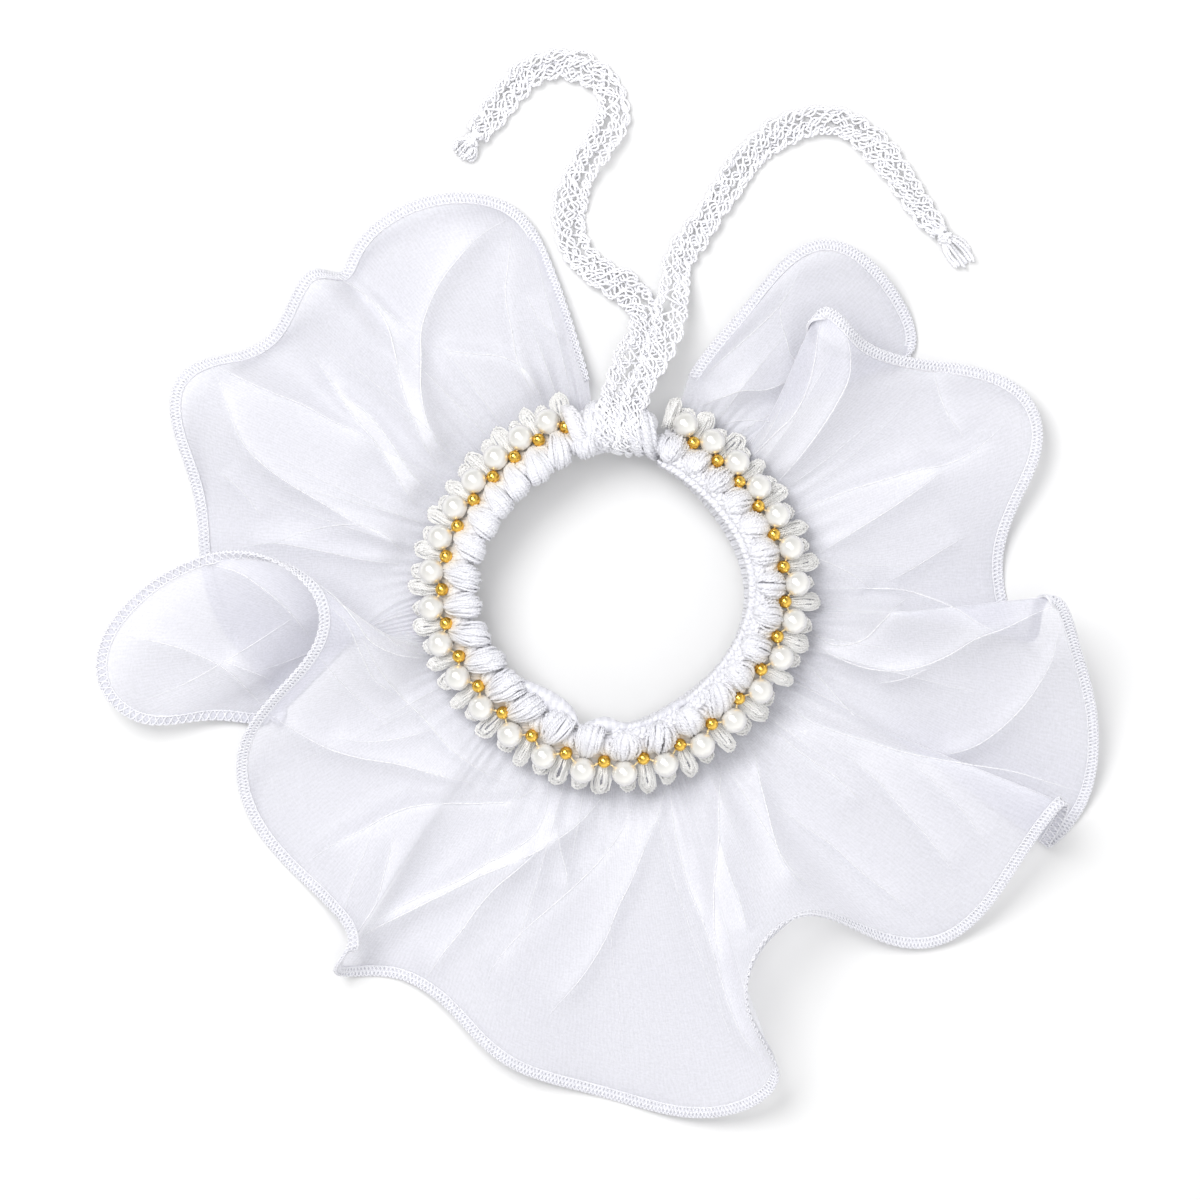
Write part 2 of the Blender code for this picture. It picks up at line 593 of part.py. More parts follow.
def build_tie_end(name, ways, parent, collection):
    """The small knot past the free end of a tie; returns where it is and which way it faces."""
    last = Vector((ways[-1].x, ways[-1].y, END_KNOT_RADIUS))
    before = Vector((ways[-2].x, ways[-2].y, END_KNOT_RADIUS))
    ahead = (last - before).normalized()
    middle = last + ahead * (END_KNOT_RADIUS + FIT_GAP)
    shell = bmesh.new()
    bmesh.ops.create_uvsphere(shell, u_segments=10, v_segments=7, radius=END_KNOT_RADIUS * MM)
    mesh = bpy.data.meshes.new(name)
    shell.to_mesh(mesh)
    shell.free()
    mesh.shade_smooth()
    knot = place(name, mesh, WHITE_YARN, parent, collection)
    knot.location = middle * MM
    return middle, ahead


def build_tail(middle, ahead, parent, collection):
    """The loose yarn ends past the right tie's knot, as one tapered bundle."""
    start = middle + ahead * (END_KNOT_RADIUS + FIT_GAP)
    points = []
    for along, _ in TAIL_PROFILE:
        point = start + ahead * along * TAIL_LENGTH
        points.append(Vector((point.x, point.y, TAIL_RADIUS)) * MM)
    radii = [radius for _, radius in TAIL_PROFILE]
    flat = [0.0] * len(points)
    curve = poly_curve("tail_right", points, radii, flat, TAIL_RADIUS, 0.0, 2)
    return place("tail_right", curve, WHITE_YARN, parent, collection)


def main():
    """Builds the collar."""
    clear_scene()
    collection = bpy.data.collections.new("ruffled_collar")
    bpy.context.scene.collection.children.link(collection)
    collar = bpy.data.objects.new("collar", None)
    collar.location = (NECK_X * MM, NECK_Y * MM, 0.0)
    collection.objects.link(collar)
    build_ruffle(collar, collection)
    build_band(collar, collection)
    build_pearls(collar, collection)
    build_gold_beads(collar, collection)
    build_knot(collar, collection)
    build_tie("tie_left", LEFT_TIE, collar, collection)
    build_tie("tie_right", RIGHT_TIE, collar, collection)
    build_tie_end("knot_left", LEFT_TIE, collar, collection)
    middle, ahead = build_tie_end("knot_right", RIGHT_TIE, collar, collection)
    build_tail(middle, ahead, collar, collection)


main()
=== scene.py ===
"""The dressed collar: a sheer organza flounce, a crocheted neck band with beads, and lace ties.

Lengths in the size fields are in millimetres, and the mesh code turns them into metres. Angles
are in degrees round the neck, from +X towards +Y, and count on past 360 along the cloth.
"""

import logging
import math
from dataclasses import dataclass
from enum import Enum
from typing import NamedTuple

import bpy
import numpy as np
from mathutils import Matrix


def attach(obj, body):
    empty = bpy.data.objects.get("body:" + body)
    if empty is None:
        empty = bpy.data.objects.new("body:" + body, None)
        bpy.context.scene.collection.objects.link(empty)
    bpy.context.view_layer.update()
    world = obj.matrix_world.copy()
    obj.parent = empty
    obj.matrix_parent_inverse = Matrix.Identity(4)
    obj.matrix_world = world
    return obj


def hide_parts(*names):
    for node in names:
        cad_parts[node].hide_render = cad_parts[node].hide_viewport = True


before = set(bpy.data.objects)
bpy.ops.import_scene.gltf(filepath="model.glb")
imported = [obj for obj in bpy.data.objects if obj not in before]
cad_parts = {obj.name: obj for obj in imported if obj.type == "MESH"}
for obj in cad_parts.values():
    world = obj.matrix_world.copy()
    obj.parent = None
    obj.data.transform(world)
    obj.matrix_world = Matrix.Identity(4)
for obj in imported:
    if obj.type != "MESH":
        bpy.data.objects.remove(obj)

MM = 0.001
LOG = logging.getLogger("collar")

Array = np.ndarray


class Slot(Enum):
    """The material slots of the part's record."""

    ORGANZA = "organza"
    YARN = "crochet_yarn"
    PEARL = "pearl"
    GOLD = "gold_bead"


class Section(NamedTuple):
    """One section of the flounce: where it leaves the seam, and its hem's place and height."""

    root: float
    angle: float
    reach: float
    lift: float
    curl: float


class Way(NamedTuple):
    """One point of a tie's route, with the tape's roll in degrees."""

    x: float
    y: float
    z: float
    turn: float


class Fold(NamedTuple):
    """A long fold: its height, the reach of the doubled cloth beside it (to the left of its line,
    or to the right if negative), painted denser and whiter as a highlight, the columns that it
    crosses, and its line seen from above.
    """

    height: float
    tuck: float
    roots: tuple[float, float]
    line: tuple[tuple[float, float], ...]


class Pleat(NamedTuple):
    """A fine pleat: its place on the seam, width, where it ends, its lean and height."""

    root: float
    width: float
    stop: float
    lean: float
    rise: float


SECTIONS = tuple(
    Section(*row)
    for row in (
        (96.0, 95.8, 61.7, 6.0, 0),
        (98.0, 98.6, 84.0, 5.0, 0),
        (100.0, 101.1, 108.0, 3.0, 0),
        (102.0, 103.0, 120.5, 3.0, 0),
        (106.0, 108.0, 129.0, 6.0, 0),
        (112.0, 116.0, 135.0, 9.0, 0),
        (119.0, 123.3, 135.4, 7.0, 0),
        (126.0, 128.6, 131.5, 3.0, 0),
        # small lobe over the upper left
        (131.0, 131.0, 127.0, 1.0, 0),
        (134.0, 132.2, 136.0, 14.0, 0),
        (137.0, 135.4, 136.0, 15.0, 0),
        (141.0, 140.0, 132.0, 7.0, 0),
        (145.0, 145.5, 132.5, 1.0, 0),
        # upper left lobe
        (149.0, 149.5, 142.0, 8.0, 0),
        (153.0, 153.0, 150.0, 14.0, 0),
        (158.0, 158.0, 148.0, 12.0, 0),
        (163.0, 163.5, 137.5, 4.0, 0),
        (168.0, 169.7, 130.0, 0.0, 0),
        (173.0, 177.0, 128.0, 0.0, 0),
        (176.5, 187.0, 121.0, 0.0, 0),
        # left lobe, which turns back under itself and folds over the top
        (179.3, 195.5, 110.0, 0.0, 0),
        (181.6, 201.6, 110.5, 0.6, 0),
        (183.6, 200.6, 119.0, 1.6, 0),
        (185.4, 197.2, 131.0, 3.6, 0),
        (187.5, 197.0, 147.0, 7.5, 0),
        (189.5, 193.0, 159.5, 13.0, 0),
        (191.3, 187.7, 161.5, 18.0, 0),
        (193.0, 181.5, 150.0, 22.0, 0),
        (194.7, 176.0, 130.5, 27.0, 0),
        (196.4, 173.6, 114.0, 31.5, 0),
        (198.2, 177.5, 94.5, 33.0, 0),
        (200.2, 186.4, 88.0, 30.0, 0),
        (202.5, 195.0, 101.5, 23.0, 0),
        (205.0, 200.5, 121.0, 14.0, 0),
        # lower left lobe
        (209.0, 207.0, 131.0, 5.0, 0),
        (215.0, 216.3, 133.5, 1.0, 0),
        (221.0, 224.5, 131.5, 2.0, 0),
        (226.0, 230.5, 132.0, 10.0, 0),
        (229.0, 233.8, 134.5, 15.0, 0),
        (231.0, 233.6, 142.5, 13.0, 0),
        (233.5, 234.2, 148.5, 4.0, 0),
        # bottom lobe
        (238.0, 238.5, 139.0, 0.0, 0),
        (244.0, 244.5, 136.0, 3.0, 0),
        (250.0, 250.6, 141.5, 7.0, 0),
        (256.0, 256.5, 150.5, 8.0, 0),
        (262.0, 263.4, 154.0, 4.0, 0),
        (268.0, 270.0, 157.5, 0.0, 0),
        (275.0, 277.5, 165.0, 4.0, 0),
        (281.0, 284.0, 166.5, 8.0, 0),
        (285.0, 288.2, 162.5, 13.0, 0),
        # the hem rolls up and in
        (287.5, 289.4, 156.0, 18.0, 4),
        (290.0, 287.4, 139.5, 27.0, 20),
        (293.0, 289.5, 122.5, 31.0, 32),
        (296.0, 296.0, 114.0, 30.0, 34),
        (299.0, 302.5, 117.0, 20.0, 18),
        (303.0, 306.5, 133.5, 7.0, 0),
        # lower right lobe, its top end over the right lobe
        (308.0, 311.5, 150.0, 1.0, 0),
        (316.0, 319.5, 153.0, 7.0, 0),
        (324.0, 327.0, 151.0, 15.0, 0),
        (331.0, 336.5, 154.5, 24.0, 0),
        (333.5, 331.5, 157.0, 11.0, 0),
        (335.5, 328.3, 156.0, 1.0, 0),
        (338.0, 333.0, 161.5, 0.0, 0),
        # right lobe
        (341.0, 340.0, 160.0, 6.0, 0),
        (345.0, 348.0, 152.0, 13.0, 0),
        (349.0, 354.5, 142.5, 25.0, 0),
        (351.5, 358.6, 139.0, 33.0, 0),
        (353.0, 359.8, 134.0, 32.0, 0),
        (354.7, 356.0, 132.0, 20.0, 0),
        (356.4, 352.6, 132.0, 7.0, 0),
        (358.4, 353.8, 126.5, 0.0, 0),
        (361.5, 359.5, 121.5, 0.0, 0),
        # upper right lobe
        (366.0, 367.0, 121.5, 3.0, 0),
        (372.0, 374.5, 133.5, 7.0, 0),
        (378.0, 380.5, 143.5, 9.0, 0),
        (385.0, 387.5, 141.0, 8.0, 0),
        (391.0, 394.5, 124.0, 10.0, 0),
        (397.0, 402.0, 109.5, 18.0, 0),
        (401.0, 408.5, 108.5, 26.0, 0),
        (403.4, 413.4, 110.5, 32.5, 0),
        (405.3, 413.8, 102.0, 27.0, 0),
        (406.8, 408.2, 100.5, 16.0, 0),
        (408.4, 401.0, 110.0, 6.0, 0),
        # top lobe, and the short end of the cloth
        (410.5, 397.4, 117.0, 2.0, 0),
        (412.8, 399.6, 123.5, 0.0, 0),
        (415.5, 406.0, 127.5, 5.0, 0),
        (419.0, 416.5, 130.0, 13.0, 0),
        (422.0, 421.7, 122.0, 11.0, 0),
        (425.0, 424.5, 98.5, 6.0, 0),
        (428.0, 428.5, 81.0, 4.0, 0),
        (430.0, 430.8, 68.0, 3.0, 0),
    )
)

FOLDS = tuple(
    Fold(*row)
    for row in (
        # upper left
        (3.4, -6, (96, 152), ((-32, 115), (-40, 110), (-47, 103), (-53, 95), (-57, 87), (-59, 80),
            (-59, 72), (-59, 62), (-57, 52), (-53, 44), (-47, 38))),
        (3.0, 5, (126, 158), ((-88, 98), (-84, 96), (-76, 91), (-70, 83), (-67, 73), (-65, 63),
            (-61, 52), (-57, 43), (-52, 38))),
        (1.2, -4, (124, 146), ((-78, 92), (-72, 88), (-66, 83), (-60, 79))),
        (2.8, 5, (136, 168), ((-93, 74), (-88, 66), (-80, 54), (-72, 44), (-66, 34), (-60, 25))),
        (2.0, -5, (136, 165), ((-88, 66), (-83, 60), (-76, 55), (-68, 45), (-62, 36), (-55, 29))),
        (2.4, -8, (138, 166), ((-124, 70), (-116, 66), (-105, 61), (-95, 57), (-86, 52), (-79, 49),
            (-70, 42))),
        (3.2, 8, (142, 186), ((-124, 70), (-120, 62), (-117, 52), (-113, 44), (-107, 38),
            (-100, 33), (-90, 27), (-80, 21), (-70, 16), (-62, 10))),
        (1.5, -4, (160, 183), ((-106, 14), (-95, 18), (-85, 20), (-77, 20), (-70, 17), (-64, 10))),
        (1.7, 4, (162, 183), ((-116, 13), (-105, 14.5), (-95, 13), (-85, 11), (-75, 9), (-64, 8))),
        (2.6, -8, (98, 140), ((-56, 76), (-50, 74), (-42, 73), (-34, 72), (-28, 69), (-24, 64),
            (-21, 57))),
        (2.6, 6, (98, 128), ((-31, 113), (-32, 102), (-33, 92), (-31, 80), (-29, 70), (-24, 60))),
        (1.0, 5, (98, 118), ((-27, 92), (-22, 83), (-14, 77))),
        (0.9, 5, (156, 176), ((-122, 37), (-114, 30), (-108, 22))),
        # left
        (2.6, 4, (184, 208), ((-124, 8), (-114, 5), (-108, 1), (-100, -6), (-93, -15))),
        (2.6, 4, (184, 208), ((-150, -14), (-140, -16), (-130, -19), (-120, -24), (-108, -36))),
        (1.4, 4, (184, 208), ((-120, -22), (-112, -25), (-105, -28))),
        (1.2, -5, (184, 208), ((-144, -34), (-132, -29), (-121, -23), (-108, -15), (-96, -7))),
        (2.8, 3, (192, 212), ((-90, 2), (-84, -3), (-79, -9), (-74, -16), (-66, -20), (-57, -21))),
        (2.2, 4, (192, 214), ((-87, -4), (-81, -11), (-77, -20), (-73, -28), (-66, -33))),
        (2.6, 6, (196, 244), ((-78, -12), (-72, -24), (-66, -32), (-58, -40), (-50, -49),
            (-42, -55), (-33, -60))),
        (1.0, 4, (200, 228), ((-91, -19), (-84, -28), (-76, -36), (-69, -43))),
        (3.0, 5, (198, 242), ((-106, -38), (-97, -44), (-88, -49), (-78, -52), (-66, -54),
            (-55, -57), (-42, -60))),
        (1.0, 3, (204, 228), ((-88, -45), (-77, -47), (-66, -46), (-55, -43))),
        # bottom
        (3.2, -8, (214, 256), ((-94, -84), (-85, -78), (-77, -74), (-70, -70), (-62, -67),
            (-52, -66), (-40, -66), (-30, -65), (-22, -60))),
        (1.0, 4, (222, 240), ((-83, -101), (-80, -90), (-76, -80), (-73, -72))),
        (1.2, -4, (222, 240), ((-79, -106), (-73, -97), (-70, -86), (-67, -74))),
        (3.6, 4, (228, 274), ((-80, -108), (-70, -103), (-60, -98), (-50, -93), (-40, -88),
            (-30, -84), (-20, -79), (-10, -72), (-2, -63))),
        (2.4, -4, (226, 262), ((-76, -104), (-60, -95), (-48, -90), (-38, -84), (-30, -80),
            (-23, -74), (-20, -66), (-20, -58))),
        (2.8, 3, (238, 266), ((-58, -121), (-52, -112), (-47, -106), (-42, -99), (-36, -92),
            (-30, -87), (-22, -80))),
        (2.2, -8, (246, 284), ((-40, -123), (-35, -114), (-28, -106), (-20, -99), (-12, -92),
            (-4, -84), (2, -76), (8, -64))),
        (1.4, 4, (254, 268), ((-14, -94), (-14, -88), (-16, -80), (-17, -72))),
        (2.6, 8, (256, 290), ((-20, -132), (-8, -118), (-2, -108), (2, -98), (6, -90), (10, -80),
            (14, -70), (17, -60))),
        (3.4, 4, (270, 298), ((18, -60), (19, -72), (21, -82), (24, -93), (29, -105), (33, -118),
            (36, -128), (40, -137), (48, -147))),
        (3.0, 4, (272, 300), ((34, -54), (33, -66), (33, -76), (31.5, -90), (31.5, -104),
            (34, -120))),
        (1.8, -4, (280, 302), ((33, -76), (36, -87), (40, -98), (42, -108))),
        # lower right
        (2.8, -4, (294, 316), ((44, -50), (46, -60), (48, -68), (50, -76), (53, -84), (59, -92))),
        (1.4, 4, (292, 312), ((35, -54), (40, -62), (45, -70), (50, -78), (56, -87), (63, -93))),
        (1.8, 3, (300, 320), ((50, -66), (58, -72), (68, -79), (78, -88), (87, -95), (94, -102))),
        (2.2, -6, (308, 326), ((50, -43), (58, -50), (68, -57), (78, -66))),
        (2.0, 6, (308, 328), ((72, -51), (82, -59), (90, -68), (98, -77), (106, -88))),
        (1.0, 5, (312, 330), ((92, -53), (100, -60), (108, -68), (116, -79))),
        (3.6, -8, (316, 333), ((52, -34), (60, -40), (70, -44), (80, -47), (90, -50), (100, -52),
            (112, -54), (124, -56), (134, -59), (142, -61.5))),
        # right
        (1.4, -8, (332, 350), ((57, -19), (66, -29), (74, -38), (82, -45), (88, -49))),
        (3.2, 3, (336, 354), ((61, -15), (66, -19), (72, -22), (80, -24.5), (88, -25), (96, -23.5),
            (104, -20), (112, -15), (120, -12), (128, -8), (137, -4))),
        (3.2, -3, (342, 360), ((62, -13), (67, -16.5), (72, -17), (78, -15), (83, -10), (88, -5),
            (92, -2))),
        (3.4, -5, (334, 353), ((137, -12), (135, -22), (131, -30), (126, -37), (120, -43),
            (113, -48), (106, -50.5), (97, -51))),
        (3.2, -6, (340, 358), ((66, 0.5), (72, 0.5), (80, 0.5), (90, 0), (98, -2.5), (106, -6),
            (112, -10), (119, -13.5))),
        (1.2, 3, (336, 350), ((82, -29), (90, -27.5), (98, -24))),
        (1.4, -3, (358, 372), ((60, 11), (68, 8), (74, 5), (81, 0))),
        (1.2, 8, (358, 374), ((84, 2), (92, 6), (100, 11), (110, 17))),
        # upper right
        (2.8, -7, (368, 390), ((54, 22), (64, 27), (74, 31), (84, 34), (94, 37), (104, 39),
            (112, 43), (121, 51))),
        (2.0, 6, (362, 386), ((62, 10), (70, 15), (78, 20), (86, 25), (96, 32), (104, 38))),
        (1.8, 4, (378, 396), ((99, 68), (102, 58), (105, 52), (109, 47))),
        (3.2, 8, (384, 405), ((50, 32), (58, 41), (64, 49), (69, 57), (73, 66), (73, 73), (71, 80),
            (67, 86))),
        (3.4, -6, (390, 405), ((40, 38), (44, 42), (50, 48), (56, 54), (60, 62), (62, 70),
            (63, 78), (65, 86))),
        (2.0, 6, (406, 430), ((27, 57), (34, 59.5), (40, 61.5), (48, 62), (55, 65), (60, 68))),
        (1.4, -4, (404, 424), ((33, 51), (40, 52.5), (48, 52), (55, 50))),
        (1.6, 4, (404, 420), ((60, 67), (56, 71), (54, 77), (52, 85), (54, 93))),
        (1.6, -5, (410, 428), ((28, 66), (36, 73), (44, 80), (52, 88), (58, 98))),
    )
)

# The binding that rolls out over the neck's edge: its angle and its inner radius.
FRILL = (
    (200.0, 42.5), (205.0, 41.2), (220.0, 40.0), (229.6, 37.4), (240.9, 36.2),
    (250.0, 37.6), (254.5, 40.2), (257.0, 42.6), (260.0, 41.0), (267.0, 39.0),
    (275.0, 40.9), (283.0, 41.4), (291.0, 40.2), (299.0, 39.4), (310.0, 42.2),
)

LEFT_WAYS = tuple(
    Way(*row)
    for row in (
        (-2.5, 42.4, 12.0, 0),
        (-2.5, 43.8, 18.0, 0),
        (-2.0, 48.5, 22.4, 0),
        (-1.2, 55.5, 20.6, 0),
        (0.8, 62.0, 14.0, 0),
        (5.4, 71.0, 9.6, 0),
        (9.2, 79.5, 6.0, 0),
        (9.8, 86.5, 4.0, 0),
        (5.2, 92.6, 2.8, 0),
        (-3.6, 98.0, 2.6, 10),
        (-10.4, 105.0, 2.4, 0),
        (-13.5, 114.0, 2.8, 15),
        (-11.5, 126.0, 2.6, 0),
        (-5.0, 136.5, 3.0, -15),
        (0.5, 147.0, 2.8, 0),
        (-2.5, 157.0, 2.6, 10),
        (-14.0, 163.0, 2.4, 0),
        (-25.0, 160.5, 2.6, 0),
        (-33.0, 152.5, 2.6, -10),
        (-40.4, 143.0, 2.6, 0),
    )
)
RIGHT_WAYS = tuple(
    Way(*row)
    for row in (
        (4.6, 42.2, 12.6, 0),
        (4.6, 43.6, 18.6, 0),
        (5.0, 48.5, 23.2, 0),
        (6.2, 55.5, 22.4, 0),
        (8.6, 62.0, 18.2, 0),
        (13.4, 72.0, 13.4, 0),
        (17.4, 82.0, 9.4, 0),
        (18.8, 92.0, 6.6, 0),
        (20.5, 102.0, 3.6, 10),
        (27.0, 111.5, 3.0, 0),
        (34.0, 122.0, 2.8, 0),
        (44.0, 136.0, 2.6, 10),
        (56.0, 143.5, 2.6, 0),
        (69.0, 145.5, 2.6, 0),
        (81.0, 138.0, 2.8, -10),
        (90.0, 126.5, 2.6, 0),
        (96.0, 117.6, 2.4, 0),
        (100.0, 112.8, 2.6, 0),
    )
)


def unit(vectors: Array) -> Array:
    """The vectors scaled to length one."""
    return vectors / np.maximum(np.linalg.norm(vectors, axis=-1, keepdims=True), 1e-12)


def along_line(points: Array) -> Array:
    """The distance of each point of a line from its start."""
    steps = np.linalg.norm(np.diff(points, axis=-2), axis=-1)
    start = np.zeros((*steps.shape[:-1], 1))
    return np.concatenate([start, np.cumsum(steps, axis=-1)], axis=-1)


def smooth_through(rows: Array, count: int, crowding: float = 0.0) -> Array:
    """A smooth curve through rows of numbers, of which the first three are a point.

    Args:
        rows: the rows to pass through.
        count: how many rows to return.
        crowding: 0 spaces them evenly by length, 1 evenly by the given rows.

    Returns:
        The rows of the curve, count of them.
    """
    knots = along_line(rows[:, :3])
    slopes = np.gradient(rows, knots, axis=0)
    fine = np.linspace(0.0, knots[-1], 20 * count)
    at = np.clip(np.searchsorted(knots, fine, side="right") - 1, 0, len(rows) - 2)
    span = (knots[at + 1] - knots[at])[:, None]
    t = (fine[:, None] - knots[at][:, None]) / span
    curve = (
        (2 * t**3 - 3 * t**2 + 1) * rows[at]
        + (t**3 - 2 * t**2 + t) * span * slopes[at]
        + (3 * t**2 - 2 * t**3) * rows[at + 1]
        + (t**3 - t**2) * span * slopes[at + 1]
    )
    along = along_line(curve[:, :3])
    by_row = np.interp(fine, knots, np.arange(len(rows)) / (len(rows) - 1))
    spread = (1.0 - crowding) * along / along[-1] + crowding * by_row
    even = np.linspace(0.0, 1.0, count)
    return np.stack([np.interp(even, spread, column) for column in curve.T], axis=1)


def resampled(points: Array, step: float) -> Array:
    """A line's points again, evenly apart by about a step."""
    along = along_line(points)
    even = np.linspace(0.0, along[-1], max(3, round(along[-1] / step) + 1))
    return np.stack([np.interp(even, along, column) for column in points.T], axis=1)


def smoothstep(values: Array, low: float, high: float) -> Array:
    """0 below low and 1 above high, with a smooth step between."""
    t = np.clip((values - low) / (high - low), 0.0, 1.0)
    return t * t * (3.0 - 2.0 * t)


def tapered(values: Array, low: float, high: float) -> Array:
    """0 at both ends of the range from 0 to 1, with a smooth step up from each to 1."""
    return smoothstep(values, low, high) * smoothstep(1.0 - values, low, high)


def softened(values: Array, window: Array) -> Array:
    """The values averaged over a sliding window, with the end values held past the ends."""
    padded = np.pad(values, len(window) // 2, mode="edge")
    return np.convolve(padded, window / window.sum(), "valid")


@dataclass(frozen=True)
class Neck:
    """The neck ring that the band, beads and flounce share, in the part's frame."""

    x: float = 4.3
    y: float = 20.3
    wave: float = 1.0
    shift: float = 0.5
    top_radius: float = 41.5
    top_height: float = 20.0
    slope: float = 39.0
    start: float = 103.0
    end: float = 434.0
    pearls: int = 28
    first_pearl: float = 111.0
    pitch: float = 11.67
    spread: float = 6.5
    widest_gap: float = 13.9

    @property
    def centre(self) -> Array:
        """The middle of the neck on the floor, in metres."""
        return np.array([self.x, self.y, 0.0]) * MM

    def offset(self, angle: Array) -> Array:
        """How far the soft neck stands off a true circle."""
        turn = np.radians(angle)
        return self.wave * np.cos(4 * turn) + self.shift * np.cos(turn)

    def polar(self, angle: Array, radius: Array, height: Array) -> Array:
        """Points at an angle, distance and height from the neck's middle, in metres."""
        turn = np.radians(angle)
        flat = np.broadcast_arrays(radius * np.cos(turn), radius * np.sin(turn), height)
        return np.stack(flat, axis=-1) * MM + self.centre

    def band(self, angle: Array, along: Array, out: Array) -> Array:
        """Points of the band by their place along its slope and out of its wall, in metres."""
        slope = math.radians(self.slope)
        radius = self.top_radius + self.offset(angle)
        radius = radius + along * math.cos(slope) + out * math.sin(slope)
        height = self.top_height - along * math.sin(slope) + out * math.cos(slope)
        return self.polar(angle, radius, height)

    @staticmethod
    def ahead(angle: Array) -> Array:
        """The direction round the neck at each angle."""
        turn = np.radians(angle)
        return np.stack([-np.sin(turn), np.cos(turn), np.zeros_like(turn)], axis=1)

    def pearl_angle(self, number: Array) -> Array:
        """The angle of a pearl, or between two of them."""
        number = np.asarray(number, float)
        turn = 2 * math.pi / (self.pearls - 1)
        spread = self.spread * np.sin(turn * (number - self.widest_gap))
        first = self.spread * math.sin(-turn * self.widest_gap)
        return self.first_pearl + self.pitch * number + spread - first


NECK = Neck()


def mesh_object(
    name: str,
    points: Array,
    quads: Array,
    uvs: Array | None = None,
    values: dict[str, Array] | None = None,
) -> bpy.types.Object:
    """A smooth quad mesh in the scene.

    Args:
        name: the object's name.
        points: its vertices, in metres.
        quads: four vertex indices a face.
        uvs: one coordinate pair for each corner of each face, or None to map it from above.
        values: named numbers, one for each vertex, for the materials to read.

    Returns:
        The linked object.
    """
    if uvs is None:
        uvs = points[quads.ravel()][:, :2]
    mesh = bpy.data.meshes.new(name)
    mesh.vertices.add(len(points))
    mesh.vertices.foreach_set("co", np.ascontiguousarray(points, np.float32).ravel())
    mesh.loops.add(quads.size)
    mesh.loops.foreach_set("vertex_index", np.ascontiguousarray(quads, np.int32).ravel())
    mesh.polygons.add(len(quads))
    mesh.polygons.foreach_set("loop_start", np.arange(0, quads.size, 4, dtype=np.int32))
    layer = mesh.uv_layers.new(name="cloth")
    layer.data.foreach_set("uv", np.ascontiguousarray(uvs, np.float32).ravel())
    for key, numbers in (values or {}).items():
        made = mesh.attributes.new(key, "FLOAT", "POINT")
        made.data.foreach_set("value", np.ascontiguousarray(numbers, np.float32))
    mesh.update(calc_edges=True)
    mesh.validate()
    mesh.shade_smooth()
    piece = bpy.data.objects.new(name, mesh)
    bpy.context.scene.collection.objects.link(piece)
    return piece


def grid_quads(columns: int, rows: int, closed: bool = False) -> Array:
    """The quads of a grid of points, column by column; closed joins the last row to the first."""
    across = np.arange(rows if closed else rows - 1)
    after = (across + 1) % rows
    base = (np.arange(columns - 1) * rows)[:, None]
    corners = (base + across, base + rows + across, base + rows + after, base + after)
    return np.stack(corners, axis=-1).reshape(-1, 4)


class Puff(NamedTuple):
    """A leaf-shaped bundle of yarn: its half width and thickness, twist, yarns, their radius,
    and how much nearer to its start it is widest.
    """

    wide: float
    thick: float
    twist: float
    yarns: int
    yarn: float
    lead: float = 1.0


